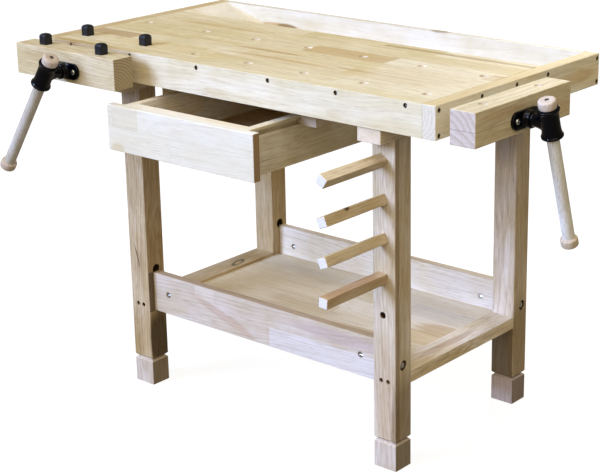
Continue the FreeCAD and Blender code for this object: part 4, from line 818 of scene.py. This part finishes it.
# The round shank below 0, the square head above it, its bevel and its flat top.
dog_form = turned((
    (0, -40), (8.0, -40), (8.9, -39.4), (9.3, -38.6), (9.3, -0.3), (9.3, 0.0), (10.0, 0.05, 1),
    (10.3, 0.2, 1), (10.5, 0.6, 1), (10.5, 10, 1), (10.5, 17.6, 1), (10.4, 18.4, 1), (10.1, 19.2, 1),
    (8.1, 21.9, 1), (7.5, 22.5, 1), (6.8, 22.85, 1), (6.0, 23.0, 0.9), (3.0, 23.0, 0.5), (0, 23.0)),
    96, soft_square)
nylon, nylon_shader = new_material("moulded_black_nylon")
nylon_place = add_node(nylon, "TexCoord")["Object"]
# The real grain is 0.1 mm wide. It is drawn 1.1 mm wide, so that it shows.
nylon_grain = add_node(nylon, "TexNoise", (
    ("Vector", nylon_place), ("Scale", 1 / (1.111 * MM)), ("Detail", 2.0)))[0]
nylon_gloss = add_node(nylon, "MapRange", (("Value", nylon_grain), ("To Min", 0.34), ("To Max", 0.5)))[0]
nylon_bump = add_node(nylon, "Bump", (("Height", nylon_grain), ("Strength", 0.3), ("Distance", 0.3 * MM)))[0]
nylon.node_tree.links.new(nylon_gloss, nylon_shader.inputs["Roughness"])
nylon.node_tree.links.new(nylon_bump, nylon_shader.inputs["Normal"])
nylon_shader.inputs["Base Color"].default_value = linear("14171F")
nylon_shader.inputs["Specular IOR Level"].default_value = 0.3
BENCH_TOP = 780
DOGS = {"top_left_dog": (-462.5, -214.5), "top_right_dog": (-281, -214.5),
        "jaw_left_dog": (-462, -333.5), "jaw_right_dog": (-287, -333.5)}
for name, (x, y) in DOGS.items():
    form = shell(moved(dog_form, UP, (x, y, BENCH_TOP)))
    add_piece("nylon_" + name, [form], nylon, name + "_body", (name,))

# ---- Support pegs ----------------------------------------------------------------------------------
# Square rubberwood pegs with a round tenon, pushed into holes in the leg, each turned a little.
# Their ends are sawn, so they are paler than the planed sides. The second has a knot.

KNOT = ((0.3695, -0.345, 0.575), (0.009, 0.010, 0.012), "4A2E18", 0.9)
STREAK = ((0.3695, -0.310, 0.420), (0.03, 0.110, 0.008), "B98E66", 0.55)
PEGS = (("DCCCAA", ()), ("D3C19B", (KNOT,)), ("DECFAC", ()), ("D3BFA0", (STREAK,)))
for number, (tone, marks) in enumerate(PEGS, start=1):
    saw(f"support_peg_{number}", "y", tone, figure=1.3, rings=0.3, ends="E6E8EE", patches=marks)

# ---- Floor, light and camera ------------------------------------------------------------------------
# A white studio floor that curves up far around the bench. It glows by itself and is hidden from the
# bench, so it neither tints nor lights it: three broad suns and two panels do, most from the front left.


def studio_floor(radius, rim, height, around):
    """A bowl: flat to radius, then rising as height times (1 - cos) of the share of the way to rim."""
    reach = np.concatenate([[0.0], np.linspace(2, radius, 6), np.linspace(radius, rim, 16)[1:]])
    share = np.clip((reach - radius) / (rim - radius), 0, 1)
    rise = height * (1 - np.cos(share * math.pi / 2))
    return turned(np.stack([reach, rise], axis=-1), around)


floor_grid = studio_floor(radius=14.0, rim=19.0, height=5.5, around=96)
floor_rows, floor_around, _ = floor_grid.shape
numbers = np.arange(floor_rows * floor_around).reshape(floor_rows, floor_around)
next_around = np.roll(numbers, -1, axis=1)
floor_quads = np.stack([numbers[:-1], next_around[:-1], next_around[1:], numbers[1:]], axis=-1).reshape(-1, 4)
floor_mesh = bpy.data.meshes.new("studio_floor")
floor_mesh.from_pydata(floor_grid.reshape(-1, 3).tolist(), [], floor_quads.tolist())
floor_mesh.shade_smooth()
floor = bpy.data.objects.new("studio_floor", floor_mesh)
bpy.context.scene.collection.objects.link(floor)
floor.visible_diffuse = False
floor.visible_glossy = False
# Matt white paint, evenly lit: no texture and no shine, so nothing on it draws the eye from the bench.
matt_paint, matt_shader = new_material("lit_white_floor")
matt_shader.inputs["Base Color"].default_value = linear("6E6E72")
matt_shader.inputs["Roughness"].default_value = 0.9
matt_shader.inputs["Emission Color"].default_value = linear("FFFFFF")
matt_shader.inputs["Emission Strength"].default_value = 0.90
floor_mesh.materials.append(matt_paint)

# The room's warm bounce light.
world = bpy.data.worlds.new("studio")
world.use_nodes = True
world.node_tree.nodes["Background"].inputs["Color"].default_value = linear("FFEDCB")
world.node_tree.nodes["Background"].inputs["Strength"].default_value = 0.26
bpy.context.scene.world = world


def add_lamp(name, kind, colour, strength, place, turn, **size):
    """A lamp that shines along its own -Z, turned about X, Y and Z and then put in its place."""
    lamp = bpy.data.lights.new(name, kind)
    lamp.energy = strength
    lamp.color = linear(colour)[:3]
    for field, setting in size.items():
        setattr(lamp, field, setting)
    holder = bpy.data.objects.new(name, lamp)
    holder.location = place
    holder.rotation_euler = turn
    bpy.context.scene.collection.objects.link(holder)


# Three broad suns: the direction toward each, its strength, the degrees it is spread over, its colour.
for name, (x, y, z), strength, spread, colour in (
        ("key_light", (-0.415, -0.814, 0.407), 4.8, 30, "BDD2FF"),
        ("fill_light", (0.45, -0.62, 0.64), 1.4, 60, "FFEDCB"),
        ("top_light", (-0.10, -0.10, 1.0), 0.6, 50, "FFF09C")):
    turn = (0, math.atan2(math.hypot(x, y), z), math.atan2(y, x))
    add_lamp(name, "SUN", colour, strength, (0, 0, 0), turn, angle=math.radians(spread))
# Two square panels: one hangs over the front right corner of the top, and the other shines from
# behind onto the shelf.
add_lamp("corner_panel", "AREA", "C6D8FF", 2.8, (0.45, -0.50, 1.50), (0, 0, 0), size=0.5)
add_lamp("shelf_panel_light", "AREA", "FFF6E6", 8.0, (-0.05, 1.25, 0.92), (-1.04, 0, 0), size=0.6)

bpy.context.scene.view_settings.view_transform = "Standard"

# The camera stands to the right of the bench's front, above the top, and looks down at it through a
# long lens. Its sides are the level ones, turned about its view by the roll.
CAMERA_PLACE = (2.15698, -2.48822, 1.45837)
LENS, SENSOR = 95.149, 36.0  # Both in mm.
SHIFT = (-0.0630, -0.0534)
FAR_END = 100.0  # Past the floor's rim.
YAW, PITCH, ROLL = (math.radians(turn) for turn in (40.058, -17.401, 0.792))
ahead = np.array((-math.sin(YAW) * math.cos(PITCH), math.cos(YAW) * math.cos(PITCH), math.sin(PITCH)))
level_right = np.array((math.cos(YAW), math.sin(YAW), 0.0))
level_down = np.cross(ahead, level_right)
right = math.cos(ROLL) * level_right + math.sin(ROLL) * level_down
down = math.cos(ROLL) * level_down - math.sin(ROLL) * level_right
eye = bpy.data.cameras.new("camera")
eye.lens = LENS
eye.sensor_width = SENSOR
eye.shift_x, eye.shift_y = SHIFT
eye.clip_end = FAR_END
camera = bpy.data.objects.new("camera", eye)
bpy.context.scene.collection.objects.link(camera)
pose = np.eye(4)
pose[:3, :3] = np.stack([right, -down, -ahead], axis=1)
pose[:3, 3] = CAMERA_PLACE
camera.matrix_world = pose.T.tolist()
bpy.context.scene.camera = camera
